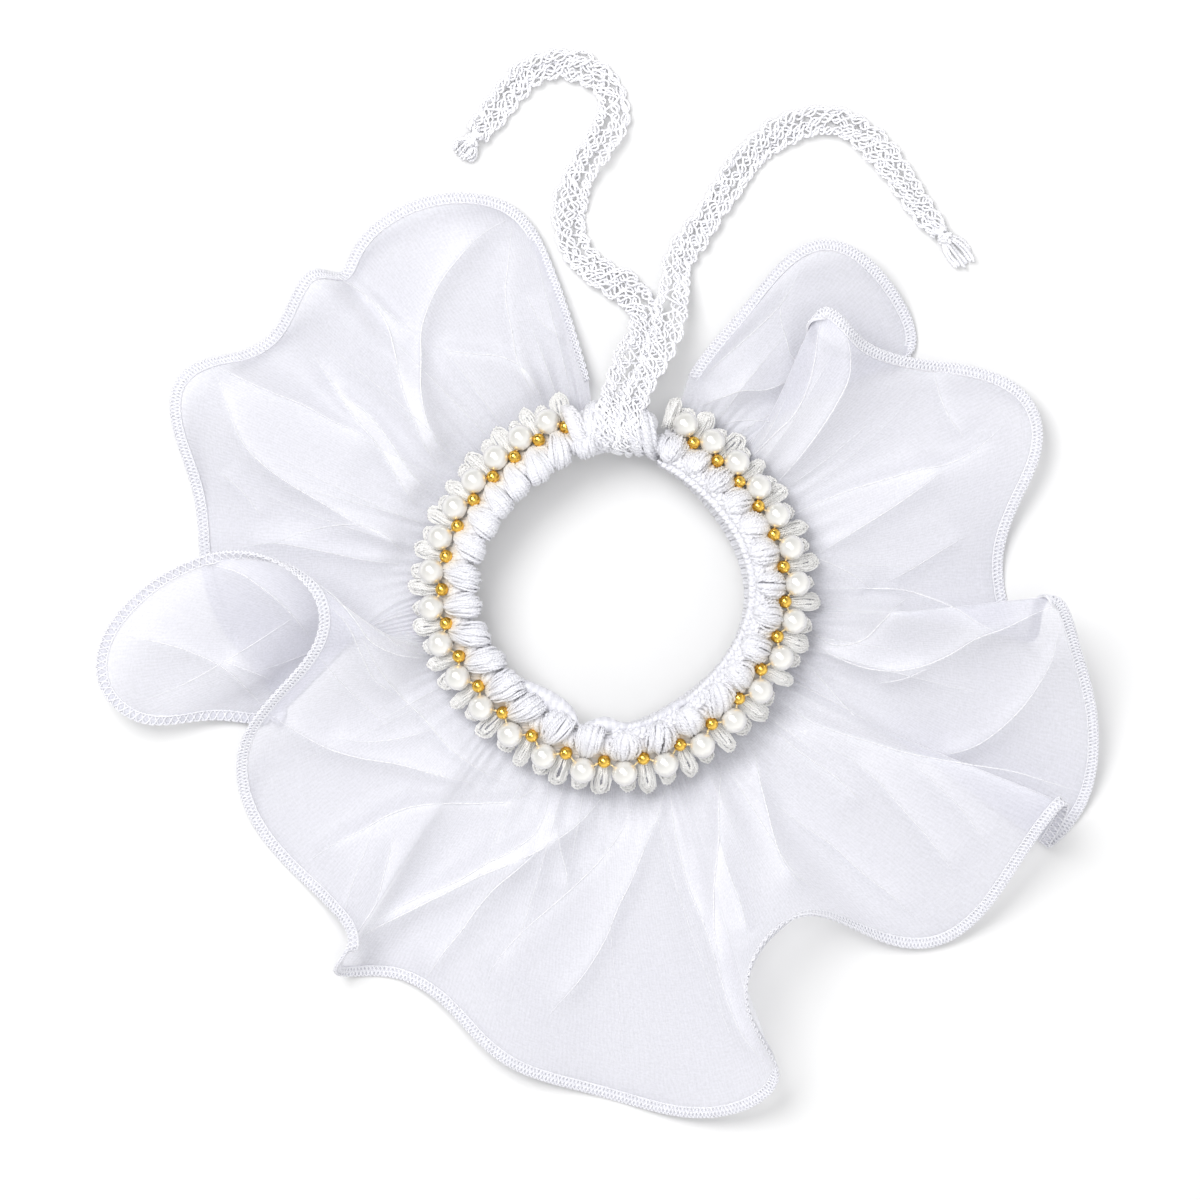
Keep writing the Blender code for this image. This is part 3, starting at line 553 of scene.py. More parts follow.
class Strands:
    """Gathers round threads and cords into one mesh."""

    def __init__(self, sides: int = 6) -> None:
        """Starts an empty bundle whose tubes have the given number of sides."""
        self.sides = sides
        self.points: list[Array] = []
        self.quads: list[Array] = []
        self.uvs: list[Array] = []
        self.count = 0

    @staticmethod
    def frames(paths: Array) -> tuple[Array, Array]:
        """Two directions square to each path at each point, carried along it without a twist."""
        ahead = unit(np.gradient(paths, axis=1))
        seed = np.where(np.abs(ahead[:, 0, 2:3]) < 0.8, [[0.0, 0.0, 1.0]], [[1.0, 0.0, 0.0]])
        normals = np.empty_like(paths)
        normal = unit(seed - ahead[:, 0] * np.sum(seed * ahead[:, 0], axis=-1, keepdims=True))
        for k in range(paths.shape[1]):
            step = ahead[:, k]
            normal = unit(normal - step * np.sum(normal * step, axis=-1, keepdims=True))
            normals[:, k] = normal
        return normals, np.cross(ahead, normals)

    def add(self, paths: Array, radius: float | Array, plies: int = 1, lay: float = 2.4) -> None:
        """Adds a tube along each path.

        Args:
            paths: points in metres, one row of them a path, all of one length.
            radius: in millimetres, one for all or one for each point.
            plies: how many yarns are twisted into each cord.
            lay: the length of one full twist, in millimetres.
        """
        paths = np.asarray(paths, float)
        if paths.ndim == 2:
            paths = paths[None]
        count, length, _ = paths.shape
        radii = np.broadcast_to(np.asarray(radius, float) * MM, (count, length)).copy()
        normals, sides = self.frames(paths)
        along = along_line(paths)
        if plies > 1:
            reach = (0.5 * radii)[..., None]
            for ply in range(plies):
                turn = 2 * math.pi * (ply / plies + along / (lay * MM))
                turned = np.cos(turn)[..., None] * normals + np.sin(turn)[..., None] * sides
                self.add(paths + reach * turned, 0.58 * radii / MM)
            return
        radii[:, 0] *= 0.35
        radii[:, -1] *= 0.35
        turn = 2 * math.pi * np.arange(self.sides) / self.sides
        ring = (
            np.cos(turn)[:, None] * normals[:, :, None, :]
            + np.sin(turn)[:, None] * sides[:, :, None, :]
        )
        points = paths[:, :, None, :] + radii[:, :, None, None] * ring
        one = grid_quads(length, self.sides, closed=True)
        first = (np.arange(count) * length * self.sides)[:, None, None]
        quads = (one[None] + first).reshape(-1, 4)
        around = np.arange(self.sides) / self.sides
        left = np.broadcast_to(along[:, :-1, None], (count, length - 1, self.sides))
        right = np.broadcast_to(along[:, 1:, None], (count, length - 1, self.sides))
        low = np.broadcast_to(around, left.shape)
        high = np.broadcast_to(around + 1 / self.sides, left.shape)
        corners = [(low, left), (low, right), (high, right), (high, left)]
        uvs = np.stack([np.stack(corner, axis=-1) for corner in corners], axis=-2)
        self.points.append(points.reshape(-1, 3))
        self.quads.append(quads + self.count)
        self.uvs.append(uvs.reshape(-1, 2))
        self.count += count * length * self.sides

    def skein(self, route: Array, across: Array, puff: Puff, dice: np.random.Generator) -> None:
        """Adds a leaf-shaped bundle of yarn along a route.

        Args:
            route: its middle, in metres.
            across: the direction of its width at each point.
            puff: its size and yarns.
            dice: the unevenness of hand work.
        """
        t = np.linspace(0.0, 1.0, len(route))
        face = np.cross(unit(np.gradient(route, axis=0)), across)
        swell = np.sin(math.pi * (0.04 + 0.92 * t**puff.lead)) ** 0.75
        for layer, count in ((1.0, puff.yarns), (0.6, puff.yarns // 2)):
            for number in range(count):
                turn = 2 * math.pi * number / count + puff.twist * (t - 0.5)
                turn = turn + dice.uniform(-0.2, 0.2)
                wobble = np.sin(2 * math.pi * (t * dice.uniform(0.8, 1.9) + dice.random()))
                size = layer * swell * dice.uniform(0.86, 1.1)
                side = puff.wide * size * np.cos(turn) + 0.25 * wobble
                up = puff.thick * size * np.sin(turn)
                path = route + across * (side * MM)[:, None] + face * (up * MM)[:, None]
                cord = puff.yarn * (0.7 + 0.4 * swell)
                if layer == 1.0:
                    self.add(path, cord, plies=2, lay=dice.uniform(1.8, 2.6))
                else:
                    self.add(path, 1.7 * cord)

    def build(self, name: str, floor: float = 0.1, warm: float = 0.0) -> bpy.types.Object:
        """The mesh of all tubes, with each point's painted reflection of the gold beads near it,
        never below the given cream tint.
        """
        points = np.concatenate(self.points)
        points[:, 2] = np.maximum(points[:, 2], floor * MM)
        # Painted reflection of the gold beads, raised to a cream tint where the thread itself is
        # cream.
        gold_reflection_and_cream = np.maximum(GoldBeads.gold_reflection_and_cream(points), warm)
        quads, uvs = np.concatenate(self.quads), np.concatenate(self.uvs)
        return mesh_object(name, points, quads, uvs, {"gold_reflection_and_cream": gold_reflection_and_cream})


class Shader:
    """One procedural material and the few node helpers that it takes."""

    def __init__(self, name: str, settings: dict[str, object]) -> None:
        """Starts a material with constants on its Principled shader."""
        self.material = bpy.data.materials.new(name)
        self.material.use_nodes = True
        tree = self.material.node_tree
        self.nodes, self.links = tree.nodes, tree.links
        self.principled = tree.nodes["Principled BSDF"]
        for key, value in settings.items():
            self.principled.inputs[key].default_value = value

    def node(
        self, kind: str, inputs: dict[str | int, object], **settings: object
    ) -> bpy.types.Node:
        """A node whose inputs are linked to sockets or set to values."""
        made = self.nodes.new(kind)
        for key, value in settings.items():
            setattr(made, key, value)
        for key, value in inputs.items():
            self.feed(made.inputs[key], value)
        return made

    def feed(self, socket: bpy.types.NodeSocket, value: object) -> None:
        """Links a socket to the input, or sets the input to a number."""
        if isinstance(value, bpy.types.NodeSocket):
            self.links.new(value, socket)
        else:
            socket.default_value = value

    def math(self, operation: str, *values: object) -> bpy.types.NodeSocket:
        """The result of a Math node."""
        inputs = dict(enumerate(values))
        return self.node("ShaderNodeMath", inputs, operation=operation).outputs[0]

    def noise(
        self, scale: float, detail: float = 2.0, vector: object = None
    ) -> bpy.types.NodeSocket:
        """The height of a noise texture, by default in the object's own metres."""
        inputs = {"Scale": scale, "Detail": detail}
        inputs["Vector"] = vector or self.coordinates("Object")
        return self.node("ShaderNodeTexNoise", inputs).outputs["Fac"]

    def coordinates(self, kind: str) -> bpy.types.NodeSocket:
        """Object or UV coordinates."""
        return self.node("ShaderNodeTexCoord", {}).outputs[kind]

    def value(self, name: str) -> bpy.types.NodeSocket:
        """A named number of the mesh."""
        return self.node("ShaderNodeAttribute", {}, attribute_name=name).outputs["Fac"]

    def spread(
        self, value: object, low: float, high: float, to_low: float, to_high: float
    ) -> bpy.types.NodeSocket:
        """A value carried from one range to another, and held inside it."""
        inputs = {"Value": value, 1: low, 2: high, 3: to_low, 4: to_high}
        return self.node("ShaderNodeMapRange", inputs).outputs[0]

    def tint(self, factor: object, first: tuple, second: tuple) -> bpy.types.NodeSocket:
        """A colour between two of three numbers, by a factor."""
        return self.blend(factor, (*first, 1.0), (*second, 1.0))

    def blend(self, factor: object, first: object, second: object) -> bpy.types.NodeSocket:
        """A colour between two sockets or colours, by a factor."""
        made = self.node("ShaderNodeMix", {}, data_type="RGBA")
        for key, value in {0: factor, 6: first, 7: second}.items():
            self.feed(made.inputs[key], value)
        return made.outputs[2]

    def colour(self, value: object) -> None:
        """Sets the base colour."""
        self.feed(self.principled.inputs["Base Color"], value)

    def bump(self, height: object, strength: float, distance: float) -> None:
        """Raises the surface by a height, over a distance in millimetres."""
        inputs = {"Height": height, "Strength": strength, "Distance": distance * MM}
        made = self.node("ShaderNodeBump", inputs)
        self.feed(self.principled.inputs["Normal"], made.outputs[0])


class Finishes:
    """The collar's materials."""

    def __init__(self) -> None:
        """Makes every material once."""
        self.organza = self._organza()
        self.hem = self._hem()
        self.crease = self._crease()
        self.thread = self._thread()
        self.yarn = self._yarn("crochet_cotton", (0.74, 0.74, 0.79), (0.82, 0.82, 0.86))
        self.lace = self._yarn("lace_cotton", (0.89, 0.89, 0.935), (0.96, 0.96, 0.985))
        self.picot = self._picot()
        self.pearl = self._pearl()
        self.gold = self._gold()
        self.gold_thread = self._gold_thread()
        self.floor = self._floor()

    @staticmethod
    def _organza() -> bpy.types.Material:
        """Sheer cloth with a fine irregular weave: denser on folds and steep flanks, and whiter
        there by a painted highlight.
        """
        shader = Shader(
            "organza",
            {"Roughness": 0.42, "Specular IOR Level": 0.35, "Sheen Weight": 0.25},
        )
        uv = shader.coordinates("UV")
        grain = shader.noise(1700.0, 3.0)
        yarns = []
        for scale in ((1900.0, 420.0, 1.0), (420.0, 1900.0, 1.0)):
            stretched = shader.node("ShaderNodeMapping", {0: uv, 3: scale})
            yarns.append(shader.noise(1.0, 2.0, stretched.outputs[0]))
        weave = shader.math("ADD", *yarns)
        weave = shader.math("ADD", weave, grain)
        ripple = {0: uv, "Scale": 240.0, "Distortion": 7.0, "Detail": 2.0, "Detail Scale": 0.6}
        watered = shader.node("ShaderNodeTexWave", ripple).outputs["Fac"]
        weave = shader.math("MULTIPLY_ADD", watered, 0.22, weave)
        density_and_highlight = shader.value("density_and_highlight")
        base = shader.spread(weave, 1.2, 2.0, 0.42, 0.58)
        alpha = shader.math("MULTIPLY_ADD", density_and_highlight, 0.5, base)
        shader.feed(shader.principled.inputs["Alpha"], shader.math("MINIMUM", alpha, 0.97))
        pale = shader.noise(16.0, 2.0)
        body = shader.tint(pale, (0.67, 0.67, 0.75), (0.73, 0.73, 0.80))
        # Painted highlight: the cloth turns near white where it is denser, on folds and steep
        # flanks.
        shader.colour(shader.blend(density_and_highlight, body, (0.93, 0.93, 0.965, 1.0)))
        shader.bump(weave, 0.2, 0.15)
        return shader.material

    @staticmethod
    def _hem() -> bpy.types.Material:
        """The cloth turned under the edge stitches: two layers, so less sheer."""
        shader = Shader("hem_cloth", {"Roughness": 0.5, "Sheen Weight": 0.2})
        grain = shader.noise(1400.0, 3.0)
        alpha = shader.spread(grain, 0.3, 0.7, 0.55, 0.8)
        shader.feed(shader.principled.inputs["Alpha"], alpha)
        shader.colour(shader.tint(grain, (0.72, 0.72, 0.80), (0.84, 0.84, 0.90)))
        shader.bump(grain, 0.3, 0.2)
        return shader.material

    @staticmethod
    def _crease() -> bpy.types.Material:
        """A painted highlight along a pressed fold, standing for cloth seen edge on."""
        shader = Shader("fold_highlight_cloth", {"Roughness": 0.45, "Sheen Weight": 0.2})
        grain = shader.noise(900.0, 2.0)
        alpha = shader.spread(grain, 0.3, 0.7, 0.35, 0.6)
        shader.feed(shader.principled.inputs["Alpha"], alpha)
        # Near white: a painted highlight along the fold.
        shader.colour(shader.tint(grain, (0.93, 0.93, 0.965), (0.99, 0.99, 1.0)))
        return shader.material

    @staticmethod
    def _twist(shader: Shader, lay: float, strength: float) -> None:
        """Bump of fine yarns that run round a cord as a screw."""
        uv = shader.node("ShaderNodeSeparateXYZ", {0: shader.coordinates("UV")})
        turns = shader.math("MULTIPLY_ADD", uv.outputs[1], 1.0 / (lay * MM), uv.outputs[0])
        wave = shader.math("SINE", shader.math("MULTIPLY", turns, 4 * math.pi))
        fuzz = shader.math("MULTIPLY", shader.noise(2600.0, 3.0), 1.2)
        shader.bump(shader.math("ADD", wave, fuzz), strength, 0.14)

    @classmethod
    def _thread(cls) -> bpy.types.Material:
        """The fluffy nylon thread of the edge stitches."""
        shader = Shader(
            "overlock_thread",
            {"Roughness": 0.55, "Sheen Weight": 0.3, "Specular IOR Level": 0.3},
        )
        shader.colour(shader.tint(shader.noise(500.0), (0.80, 0.80, 0.85), (0.88, 0.88, 0.92)))
        cls._twist(shader, 1.2, 0.4)
        return shader.material

    @classmethod
    def _picot(cls) -> bpy.types.Material:
        """The glossier thread of the picots, its base colour lifted above the yarn's as painted
        light on picots that sit in the pearls' shade.
        """
        shader = Shader(
            "picot_thread",
            {"Roughness": 0.36, "Sheen Weight": 0.5, "Specular IOR Level": 0.7},
        )
        # Brighter than the yarn: painted light lifting the picots out of the pearls' shade.
        white = shader.tint(shader.noise(700.0), (0.94, 0.935, 0.925), (1.0, 0.995, 0.985))
        # Painted reflection of the gold beads, together with the picots' own cream tint.
        shader.colour(shader.blend(shader.value("gold_reflection_and_cream"), white, (0.98, 0.92, 0.82, 1.0)))
        cls._twist(shader, 1.6, 0.8)
        return shader.material

    @classmethod
    def _yarn(cls, name: str, deep: tuple, pale: tuple) -> bpy.types.Material:
        """White crochet cotton with a soft gloss, and a painted warm reflection of the gold beads
        beside them.
        """
        shader = Shader(
            name,
            {"Roughness": 0.5, "Sheen Weight": 0.3, "Specular IOR Level": 0.4},
        )
        white = shader.tint(shader.noise(260.0), deep, pale)
        # Painted reflection: the yarn turns gold where the gold beads are near.
        shader.colour(shader.blend(shader.value("gold_reflection_and_cream"), white, (0.93, 0.80, 0.58, 1.0)))
        cls._twist(shader, 2.0, 0.55)
        return shader.material

    @staticmethod
    def _pearl() -> bpy.types.Material:
        """Glass pearl: a cream body with faint rose and green clouds under a clear coat."""
        shader = Shader(
            "pearl",
            {
                "Roughness": 0.25,
                "Metallic": 0.4,
                "Specular IOR Level": 0.7,
                "Coat Weight": 1.0,
                "Coat Roughness": 0.08,
            },
        )
        clouds = shader.noise(220.0, 2.0)
        shader.colour(shader.tint(clouds, (0.83, 0.80, 0.755), (0.78, 0.785, 0.76)))
        shader.bump(shader.noise(900.0), 0.03, 0.05)
        return shader.material

    @staticmethod
    def _gold() -> bpy.types.Material:
        """Polished gold plate with faint scuffs."""
        shader = Shader("gold_plate", {"Metallic": 1.0})
        scuffs = shader.noise(1200.0, 4.0)
        rough = shader.spread(scuffs, 0.3, 0.8, 0.12, 0.2)
        shader.feed(shader.principled.inputs["Roughness"], rough)
        shader.colour(shader.tint(shader.noise(300.0), (0.82, 0.49, 0.07), (0.93, 0.62, 0.14)))
        shader.bump(scuffs, 0.02, 0.04)
        return shader.material

    @classmethod
    def _gold_thread(cls) -> bpy.types.Material:
        """The thread that the beads are strung on."""
        shader = Shader("gold_thread", {"Roughness": 0.4, "Metallic": 0.35})
        shader.colour(shader.tint(shader.noise(400.0), (0.86, 0.64, 0.26), (0.97, 0.84, 0.55)))
        cls._twist(shader, 1.0, 0.4)
        return shader.material

    @staticmethod
    def _floor() -> bpy.types.Material:
        """White paper."""
        shader = Shader("floor_paper", {"Roughness": 0.9, "Specular IOR Level": 0.1})
        shader.colour(shader.tint(shader.noise(3.0), (0.755, 0.755, 0.757), (0.765, 0.765, 0.765)))
        return shader.material


def dress(
    piece: bpy.types.Object, finish: bpy.types.Material, nodes: tuple[str, ...] = ()
) -> bpy.types.Object:
    """Gives a piece its material and the body it rides on.

    Args:
        piece: the finished mesh, already in place.
        finish: its material.
        nodes: the CAD nodes that it stands for.

    Returns:
        The same piece.
    """
    piece.data.materials.clear()
    piece.data.materials.append(finish)
    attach(piece, "root")
    if nodes:
        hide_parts(*nodes)
    LOG.info("%s: %d faces", piece.name, len(piece.data.polygons))
    return piece


@dataclass(frozen=True)
class Flounce:
    """The gathered strip of organza and its surface."""

    columns: int = 1001
    rows: int = 84
    seam_radius: float = 53.0
    seam_height: float = 2.0
    seam_pull: float = 0.36
    seam_rise: float = 0.2
    hem_pull: float = 0.66
    hem_rise: float = 0.78
    curl_drop: float = 0.4
    hem_crowding: float = 0.6
    hem_samples: int = 801
    hem_softness: int = 13
    gathers: int = 112
    gather_depth: float = 0.7
    gather_reach: float = 0.17
    streaks: int = 60
    steep_side: float = 2.6
    slack_side: float = 7.0
    crease_edge: float = 0.24
    crease_lift: float = 0.16
    crest: float = 0.7
    fold_taper: float = 0.16
    full_reach: float = 60.0
    fold_points: int = 24
    edge_points: int = 64
    lowest: float = 0.35
    cut_width: float = 96.0
    cut_length: float = 1420.0
    cut_neck: float = 350.0

    def hem(self) -> Array:
        """The hem's points with each one's seam angle and curl, as the solid has them."""
        rows = []
        for part in SECTIONS:
            turn = math.radians(part.angle)
            flat = [part.reach * math.cos(turn), part.reach * math.sin(turn), part.lift]
            rows.append([*flat, part.root, part.curl])
        dense = smooth_through(np.array(rows, float), self.hem_samples, self.hem_crowding)
        window = np.ones(self.hem_softness)
        soft = np.stack([softened(column, window) for column in dense.T], axis=1)
        old, new = np.linspace(0, 1, len(soft)), np.linspace(0, 1, self.columns)
        return np.stack([np.interp(new, old, column) for column in soft.T], axis=1)

    def shares(self) -> Array:
        """The rows' places on the way from the seam, at 0, to the hem, at 1."""
        return np.linspace(0.0, 1.0, self.rows) ** 1.1

    def base(self, hem: Array, shares: Array) -> Array:
        """The cloth without folds: each column a curve from the seam to the hem."""
        turn = np.radians(hem[:, 3])
        outward = np.stack([np.cos(turn), np.sin(turn), np.zeros_like(turn)], axis=1)
        start = outward * (self.seam_radius + NECK.offset(hem[:, 3]))[:, None]
        start[:, 2] = self.seam_height
        end, curl = hem[:, :3], hem[:, 4]
        reach = np.linalg.norm((end - start)[:, :2], axis=1)[:, None]
        first = start + outward * self.seam_pull * reach
        first[:, 2] = self.seam_height / 2 + end[:, 2] * self.seam_rise
        hem_out = unit(end * [1.0, 1.0, 0.0])
        second = start + (end - start) * self.hem_pull + hem_out * curl[:, None]
        second[:, 2] = end[:, 2] * self.hem_rise - curl * self.curl_drop
        t = shares[None, :, None]
        rest = 1.0 - t
        return (
            start[:, None] * rest**3
            + first[:, None] * 3 * rest**2 * t
            + second[:, None] * 3 * rest * t**2
            + end[:, None] * t**3
        )

    @staticmethod
    def from_line(flat: Array, line: Array) -> tuple[Array, Array]:
        """How far each point lies from a line of points, and how far along the line it is."""
        best = np.full(flat.shape[:-1], np.inf)
        share = np.zeros(flat.shape[:-1])
        along = along_line(line)
        for k in range(len(line) - 1):
            step = line[k + 1] - line[k]
            t = np.clip(((flat - line[k]) @ step) / (step @ step), 0.0, 1.0)
            off = flat - line[k] - t[..., None] * step
            gap = np.linalg.norm(off, axis=-1)
            nearer = gap < np.abs(best)
            left = np.where(step[0] * off[..., 1] - step[1] * off[..., 0] > 0, 1.0, -1.0)
            best = np.where(nearer, gap * left, best)
            here = (along[k] + t * (along[k + 1] - along[k])) / along[-1]
            share = np.where(nearer, here, share)
        return best, share

    def folds(self, cloth: Array, roots: Array) -> tuple[Array, Array]:
        """The height that the long folds add, and how sharply each point is creased, for the
        cloth's density and painted highlight.
        """
        height = np.zeros(cloth.shape[:2])
        crease = np.zeros(cloth.shape[:2])
        for fold in FOLDS:
            picked = (roots > fold.roots[0]) & (roots < fold.roots[1])
            rows = np.array([[x, y, 0.0] for x, y in fold.line], float)
            line = smooth_through(rows, self.fold_points)
            gap, share = self.from_line(cloth[picked][..., :2], line[:, :2])
            rounded = np.sqrt(gap**2 + self.crest**2) - self.crest
            taper = tapered(share, 0.0, self.fold_taper)
            inside = smoothstep(roots[picked], fold.roots[0], fold.roots[0] + 3)
            inside *= smoothstep(-roots[picked], -fold.roots[1], 3 - fold.roots[1])
            taper = taper * inside[:, None]
            soft = 1.0 / (1.0 + np.exp(-gap * np.sign(fold.tuck) / 0.25))
            width = self.steep_side + (self.slack_side - self.steep_side) * soft
            height[picked] += fold.height * taper * np.exp(-rounded / width)
            tucked = soft * np.exp(-np.abs(gap) / abs(fold.tuck))
            crease[picked] += taper * (0.35 + 0.65 * fold.height / 3.4) * tucked
        return height, crease

    def pleats(self) -> list[Pleat]:
        """The fine uneven pleats that run out from the seam."""
        dice = np.random.default_rng(7)
        return [
            Pleat(
                root=dice.uniform(97.0, 429.0),
                width=dice.uniform(0.6, 1.7),
                stop=dice.uniform(0.3, 0.95),
                lean=dice.uniform(-8.0, 8.0),
                rise=0.25 + 1.35 * dice.random() ** 2,
            )
            for _ in range(self.streaks)
        ]

    def pleat_heights(self, roots: Array, shares: Array) -> tuple[Array, Array]:
        """The height that the fine pleats add, and how creased each point is, for the cloth's
        density and painted highlight.
        """
        height = np.zeros((len(roots), len(shares)))
        crease = np.zeros_like(height)
        for pleat in self.pleats():
            middle = pleat.root + pleat.lean * shares**1.5
            across = (roots[:, None] - middle) / (pleat.width * (0.7 + 1.2 * shares))
            profile = smoothstep(shares, 0.03, 0.2)
            profile = profile * (1 - smoothstep(shares, 0.5 * pleat.stop, pleat.stop))
            height += pleat.rise * profile * np.exp(-(np.sqrt(across**2 + 0.09) - 0.3))
            tucked = np.where(across * pleat.lean > 0, np.exp(-np.abs(across) / 1.8), 0.0)
            crease += pleat.rise / 1.6 * profile * 0.45 * tucked
        return height, crease

    def creases(self, cloth: Array, roots: Array) -> Strands:
        """Painted highlight strips along the edges of the pressed folds, laid on the finished
        cloth.

        Args:
            cloth: the grid of points, in metres.
            roots: the seam angle of each column.

        Returns:
            Thin tapering highlight strips, one for each fold and each larger pleat.
        """
        strands = Strands(sides=4)
        flat = (cloth - NECK.centre)[..., :2] / MM
        for fold in FOLDS:
            picked = np.nonzero((roots > fold.roots[0]) & (roots < fold.roots[1]))[0]
            rows = np.array([[x, y, 0.0] for x, y in fold.line], float)
            line = smooth_through(rows, self.edge_points)
            spots = flat[picked].reshape(-1, 2)
            levels = cloth[picked][..., 2].reshape(-1)
            heights = np.empty(len(line))
            for number, spot in enumerate(line[:, :2]):
                apart = np.sum((spots - spot) ** 2, axis=1)
                heights[number] = levels[apart <= max(0.8, apart.min())].max()
            heights = softened(heights, np.ones(7))
            path = line * MM + NECK.centre
            path[:, 2] = heights + self.crease_lift * MM
            t = np.linspace(0.0, 1.0, len(line))
            fade = 0.1 + 0.9 * np.sin(math.pi * t) ** 0.7
            strands.add(path, self.crease_edge * fade * min(1.0, 0.4 + fold.height / 5.0))
        shares = self.shares()
        for pleat in self.pleats():
            if pleat.rise < 0.5:
                continue
            t = np.linspace(0.06, pleat.stop, 40)
            column = np.interp(pleat.root + pleat.lean * t**1.5, roots, np.arange(len(roots)))
            row = np.interp(t, shares, np.arange(self.rows))
            left, low = column.astype(int), row.astype(int)
            over, up = (column - left)[:, None], (row - low)[:, None]
            right, high = np.minimum(left + 1, self.columns - 1), np.minimum(low + 1, self.rows - 1)
            path = (cloth[left, low] * (1 - over) + cloth[right, low] * over) * (1 - up)
            path = path + (cloth[left, high] * (1 - over) + cloth[right, high] * over) * up
            path[:, 2] += self.crease_lift * MM
            fade = np.sin(math.pi * np.linspace(0.0, 1.0, 40)) ** 0.6
            strands.add(path, 0.5 * self.crease_edge * (0.1 + 0.9 * fade) * min(1.0, pleat.rise))
        return strands

    def surface(self) -> tuple[Array, Array]:
        """The cloth's points in metres, column by column, and how dense and how whitened each one
        looks, the whitening a painted highlight on folds and steep flanks.
        """
        hem = self.hem()
        shares = self.shares()
        cloth = self.base(hem, shares)
        roots = hem[:, 3]
        height, crease = self.folds(cloth, roots)
        streak, streak_crease = self.pleat_heights(roots, shares)
        reach = np.linalg.norm((cloth[:, -1] - cloth[:, 0])[:, :2], axis=1)[:, None]
        whole = np.minimum(1.0, reach / self.full_reach)
        dice = np.random.default_rng(3)
        wander = np.cumsum(dice.normal(0.0, 0.055, len(roots)))
        phase = 2 * math.pi * self.gathers * np.linspace(0, 1, len(roots)) + wander
        depth = self.gather_depth * np.exp(-((shares / self.gather_reach) ** 1.6))
        gather = np.sin(phase)[:, None] * depth
        ends = tapered(np.linspace(0, 1, len(roots)), 0.0, 0.015)
        near_seam = smoothstep(shares, 0.0, 0.10)
        cloth[..., 2] += (height + streak) * whole * near_seam + gather * ends[:, None]
        for _ in range(3):
            inner = cloth[1:-1, 1:-1]
            around = cloth[2:, 1:-1] + cloth[:-2, 1:-1] + cloth[1:-1, 2:] + cloth[1:-1, :-2]
            cloth[1:-1, 1:-1] = 0.5 * inner + 0.125 * around
        cloth[..., 2] = np.maximum(cloth[..., 2], self.lowest)
        cloth = cloth * MM + NECK.centre
        along, across = np.gradient(cloth, axis=0), np.gradient(cloth, axis=1)
        # Denser where steep or creased; the same number also paints the cloth whiter as a
        # highlight.
        steep = 1.0 / np.clip(np.abs(unit(np.cross(along, across))[..., 2]), 0.25, 1.0) - 1.0
        density_and_highlight = 1.0 - np.exp(-0.3 * steep) + 0.34 * (crease + 0.7 * streak_crease) * whole
        return cloth, np.clip(density_and_highlight, 0.0, 1.0)

    def build(self, finishes: Finishes) -> tuple[bpy.types.Object, bpy.types.Object, Array]:
        """The dressed cloth, its painted fold highlights and its grid of points."""
        cloth, density_and_highlight = self.surface()
        quads = grid_quads(self.columns, self.rows)
        u = np.linspace(0, self.cut_length * MM, self.columns)
        v = np.linspace(0, self.cut_width * MM, self.rows)
        flat = np.stack(np.meshgrid(u, v, indexing="ij"), axis=-1).reshape(-1, 2)
        values = {"density_and_highlight": density_and_highlight.ravel()}
        piece = mesh_object("flounce", cloth.reshape(-1, 3), quads, flat[quads.ravel()], values)
        edges = self.creases(cloth, self.hem()[:, 3]).build("fold_highlight_strips")
        dress(edges, finishes.crease)
        return dress(piece, finishes.organza, ("ruffle",)), edges, cloth


